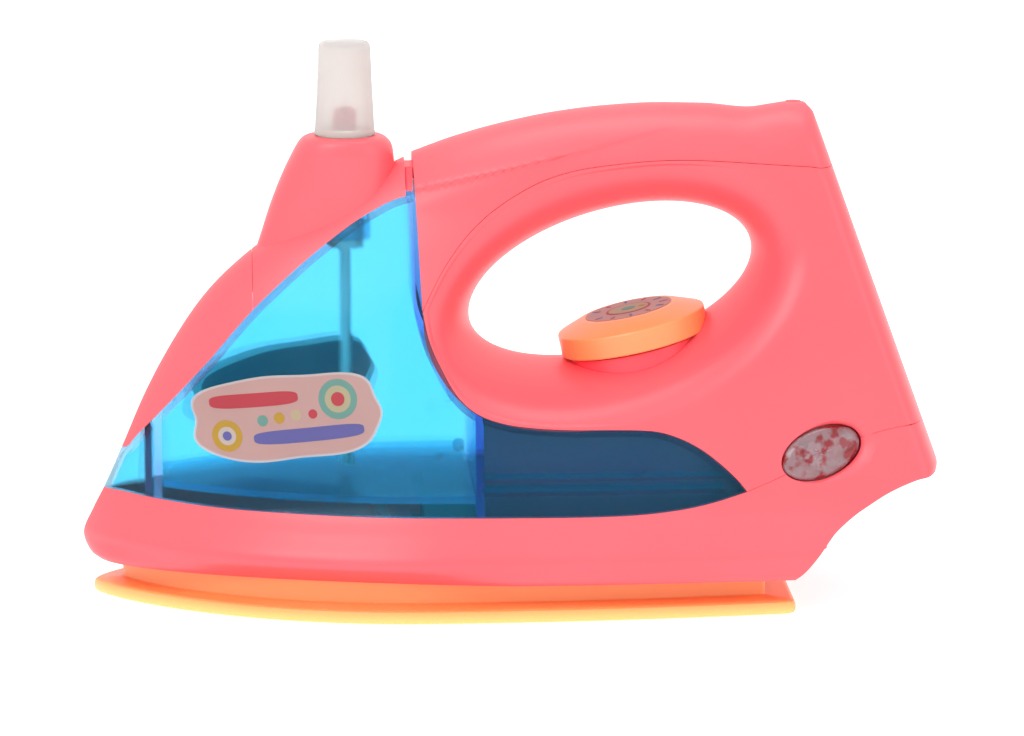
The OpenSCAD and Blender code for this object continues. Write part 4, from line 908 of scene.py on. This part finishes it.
def wrapped(run, z):
    """Place and half width of a point that runs along the side and on round the heel's corner."""
    start = heel_reach(z) - heel_corner
    turn = unit((run - start) / (back_run + heel_corner)) * math.pi / 2
    back, share = round_heel(turn)
    return np.where(run > start, start + back, run), np.where(run > start, share, 1)


def unwrapped(x, z):
    """How far along the run a point of the middle line lies."""
    start = heel_reach(z) - heel_corner
    turn = np.arcsin(unit((x - start) / heel_corner) ** 1.5)
    return np.where(x > start, start + (back_run + heel_corner) * 2 / math.pi * turn, x)


def back_middle(z):
    return heel_reach(z) + back_run


def along_line(points):
    """Places along a line by share of its length."""
    p = np.array(points, float)
    length = np.concatenate([[0], np.cumsum(np.linalg.norm(np.diff(p, axis=0), axis=1))])
    length /= length[-1]
    return lambda share: (np.interp(share, length, p[:, 0]), np.interp(share, length, p[:, 1]))


cover_foot = along_line(np.vstack([cover_line, [(back_middle(cover_low), cover_low)]]))
crest_x = np.linspace(cover_front, crest_end, 120)
crest_z = crest_line(crest_x)
cover_crest = along_line(np.vstack([np.stack([unwrapped(crest_x, crest_z), crest_z], axis=1),
                                    [(back_middle(cover_back), cover_back)]]))


def cover_place(u, v):
    side = np.where(v < 0.5, -1.0, 1.0)
    rise = 1 - np.abs(2 * v - 1)
    rise = 1 - (1 - rise) ** 2
    foot_run, foot_z = cover_foot(u)
    top_run, top_z = cover_crest(u)
    run = foot_run + (top_run - foot_run) * rise
    z = foot_z + (top_z - foot_z) * rise
    x, share = wrapped(run, z)
    y = half_width(np.minimum(x, heel_reach(z) - heel_corner), z, 0, True)
    # a soft crease along the side, which dies out towards the heel
    above = z - np.interp(x, [-22, 36], [93.6, 107.2])
    step = unit(above / 0.9 + 0.5)
    crease = step * step * (3 - 2 * step) * np.exp(-np.maximum(above, 0) / 5)
    crease = crease * unit((38 - x) / 30)
    y = (y + crease - 0.15) * share
    y = np.where(rise > 0.99999, 0, np.maximum(y, 0))
    return x, side * y, z + seam_gap * 0.4 * (1 - rise)


handle_cover = shaped_grid("handle_spine", 160, 80, cover_place)


def give_wall(piece, thickness):
    """Merges the seam edges, turns the faces out and gives the skin a wall on its inner side."""
    merge_seams(piece, 0.02)
    if sum(face.area * (1 if face.center.y * face.normal.y > 0 else -1)
           for face in piece.data.polygons) < 0:
        piece.data.flip_normals()
    wall = piece.modifiers.new("wall", "SOLIDIFY")
    wall.thickness = thickness * MM
    wall.offset = -1
    wall.use_even_offset = False
    bpy.ops.object.modifier_apply(modifier=wall.name)


give_wall(handle_cover, skin_wall)
finish_edges(handle_cover, 45)
# a strip in the deeper red fills the notch before the grip, with a tongue across it; the deeper red here
# is painted shade of the pink plastic down in the notch
notch_gap = 0.08
notch_fill = body_block("notch_fill", 0.8, 90, 99.5, 30)
combine(notch_fill, box_tool((turret_rear + notch_gap, -40, 93.3), (cover_front - notch_gap, 40, 97.9)),
        "INTERSECT")
tongue = box_tool((-24.9, -5, 95.4), (-20.2, 5, 98.1))
in_edit(tongue)
bpy.ops.mesh.bevel(offset=0.3 * MM, segments=2)
bpy.ops.object.mode_set(mode="OBJECT")
only_material(notch_fill, red_coral)
only_material(tongue, red_coral)
only_material(handle_cover, coral)
join_pieces(handle_cover, notch_fill, tongue)
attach(handle_cover, "iron")
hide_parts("handle_cover")

# Body halves: two mirrored pink shells round the grip opening, screwed together from the far side.
# The rim of the opening is dished and turns over into the side along a soft ridge.
grip_middle = (23.2, 71.0)
grip_long, grip_tall = 33.2, 16.3
grip_slope = math.radians(16)
rim_reach = 9.0
ridge_blend = 4.0
body_outline = np.vstack([
    window_rear[:-1], cover_line, [(back_middle(cover_low) - 12, cover_low)],
    [(back_middle(z), z) for z in (cover_low, 90, 80, 70, 60, 50, 45, heel_foot)],
    [(back_middle(heel_foot) - 12, heel_foot)], heel_line[-2::-1][:-1]])
body_outline = drawn_in(body_outline, seam_gap / 2)
# the back edges stay on the middle line, where the two halves meet
middle_run = back_middle(body_outline[:, 1])
at_back = body_outline[:, 0] > middle_run - 0.2
body_outline[at_back, 0] = middle_run[at_back]
body_edge = along_line(np.vstack([body_outline, body_outline[:1]]))


def in_grip(x, z):
    """A place in the side view by the grip opening's own long and tall axes."""
    dx, dz = x - grip_middle[0], z - grip_middle[1]
    c, s = math.cos(grip_slope), math.sin(grip_slope)
    return dx * c + dz * s, dz * c - dx * s


def from_opening(x, z):
    """How far a point lies outside the grip opening."""
    long, tall = in_grip(x, z)
    low, high = np.zeros_like(long) - 10, np.zeros_like(long) + 120
    for _ in range(40):
        mid = (low + high) / 2
        outside = (long / (grip_long + mid)) ** 2 + (tall / (grip_tall + mid)) ** 2 > 1
        low, high = np.where(outside, mid, low), np.where(outside, high, mid)
    return (low + high) / 2


def body_place(u, v):
    edge_x, edge_z = body_edge(u)
    long, tall = in_grip(edge_x, edge_z)
    turn = np.arctan2(tall / grip_tall, long / grip_long)
    rim_long, rim_tall = grip_long * np.cos(turn), grip_tall * np.sin(turn)
    rim_x = grip_middle[0] + rim_long * math.cos(grip_slope) - rim_tall * math.sin(grip_slope)
    rim_z = grip_middle[1] + rim_long * math.sin(grip_slope) + rim_tall * math.cos(grip_slope)
    length = np.hypot(edge_x - rim_x, edge_z - rim_z)
    first = np.clip(rim_reach * 1.6 / length, 0.3, 0.85)
    share = np.where(v < 0.55, first * (v / 0.55) ** 2, first + (1 - first) * (v - 0.55) / 0.45)
    run = rim_x + (edge_x - rim_x) * share
    z = rim_z + (edge_z - rim_z) * share
    x, corner = wrapped(run, z)
    side = half_width(np.minimum(x, heel_reach(z) - heel_corner), z, 0, True)
    out = from_opening(run, z)
    ridge_share = np.clip(rim_reach / np.maximum(length, 1), 0, 0.8)
    ridge_x, ridge_z = rim_x + (edge_x - rim_x) * ridge_share, rim_z + (edge_z - rim_z) * ridge_share
    ridge_half = half_width(ridge_x, ridge_z, 0, True)
    rim = ridge_half * np.sqrt(np.clip(out / rim_reach, 0, None))
    # the blend dies out at the seams, so that both shells meet there
    blend = ridge_blend * np.clip((1 - v) / 0.3, 0.02, 1)
    near = np.clip(blend - np.abs(side - rim), 0, blend) / blend
    y = np.minimum(side, rim) - near ** 2 * blend / 4
    y = np.maximum(y, 0) * corner + seam_gap / 2
    return x, y, z


front_line = np.vstack([window_rear[:-1], window_top])
front_run = np.gradient(front_line, axis=0)
front_run /= np.linalg.norm(front_run, axis=1)[:, None]
front_back = np.stack([front_run[:, 1], -front_run[:, 0]], axis=1)


def front_wall(side):
    """The wall that closes a body half behind the tank's rear edge."""
    outline = np.vstack([front_line + 0.35 * front_back, (front_line + 1.5 * front_back)[::-1]])
    wall = side_slab(outline, *((seam_gap, far_side) if side > 0 else (-far_side, -seam_gap)))
    combine(wall, body_block("hollow", 2.6, 24, 96, 80), "INTERSECT")
    return wall


dial_place = (Matrix.Translation((28.5 * MM, 0, 59.4 * MM))
              @ Matrix.Rotation(math.radians(-12.5), 4, "Y"))
dial_hole = 16.05
for side, name, node in ((-1, "near_body_half", "body_left"), (1, "far_body_half", "body_right")):
    half = shaped_grid(name, 300, 56, body_place)
    if side < 0:
        half.data.transform(mirror)
    give_wall(half, skin_wall)
    combine(half, rod_tool(dial_hole, -11.5, 3, turn=dial_place))
    combine(half, lamp_tool(side, lamp_flare))
    finish_edges(half, 40)
    only_material(half, coral)
    # the wall behind the tank's edge takes the dark coral of painted shade
    join_in_painted_shade(half, front_wall(side))
    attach(half, "iron")
    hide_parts(node)

# Dial: a light orange knob with a sloped top that turns on a red pedestal sunk in the body.
# A printed disc with plain ticks is stuck in its middle.
dial_orange = moulded_plastic(
    "dial_plastic", (0.95, 0.31, 0.12), (0.92, 0.28, 0.1), roughness=0.35, coat=0.15, glow=0.2)
dial_rows = [
    (0, 4.8), (11.2, 4.8), (11.5, 4.73), (16.5, 2.75), (16.85, 2.55), (17, 2.25), (17, -2.2),
    (16.85, -2.45), (16.5, -2.5), (15.4, -2.5), (15.4, 1.4), (11.5, 3.2), (4, 3.2), (4, -14),
    (1.3, -14), (1.3, -6), (0, -6)]
dial = turned("dial_knob_turned", dial_rows, 120, dial_place)
dress(dial, dial_orange, "dial", "dial_knob", 14)
pedestal_rows = [
    (4.05, -2.8), (15.2, -2.8), (15.7, -2.95), (15.8, -3.4), (15.8, -11.3), (17.6, -11.3),
    (17.6, -12.7), (14.2, -12.7), (14.2, -4.8), (6.05, -4.8), (6.05, -13.7), (4.05, -13.7),
    (4.05, -2.8)]
pedestal = turned("dial_pedestal", pedestal_rows, 120, dial_place)
dress(pedestal, red_coral, "iron", "dial_bush", 34)
brass = moulded_plastic(
    "contact_brass", (0.7, 0.48, 0.16), (0.58, 0.4, 0.13), roughness=0.3, coat=0, glow=0,
    cloud_scale=120, metal=1)
brown = moulded_plastic(
    "brown_board", (0.27, 0.15, 0.06), (0.22, 0.12, 0.045), roughness=0.55, glow=0, cloud_scale=160)
refinish(brass, "dial_wiper")
refinish(brown, "switch_plate")

disc_low, film_step = 4.82, 0.03


def disc_patch(color, radius, layer, dx=0.0, long=None, own_turn=0.0):
    """A round print, or a tick that is drawn out to a length and turned round the disc."""
    low = disc_low + film_step * layer
    high = low + 0.12 + film_step * layer
    patch = turned("print", [(0, low), (radius, low), (radius, high), (0, high)], 40 if layer else 96)
    if long:
        patch.data.transform(Matrix.Diagonal((long / radius, 1, 1, 1)))
    patch.data.transform(dial_place @ Matrix.Rotation(math.radians(own_turn), 4, "Z")
                         @ Matrix.Translation((dx * MM, 0, 0)))
    patch.data.materials.append(film[color])
    return patch


disc_prints = [("pink", 10, 0), ("coral", 5.2, 1), ("cream", 4.6, 2), ("mint", 1.6, 3)]
disc_prints += [("coral" if tick % 2 else "periwinkle", 0.35, 1, 8.2, 1.1, -150 + 30 * tick)
                for tick in range(11)]
disc_prints += [("yellow", 0.8, 3, 3.2)]
disc = join_pieces(*[disc_patch(*row) for row in disc_prints])
disc.name = "dial_print"
finish_edges(disc, 34)
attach(disc, "dial")
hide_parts("dial_disc")
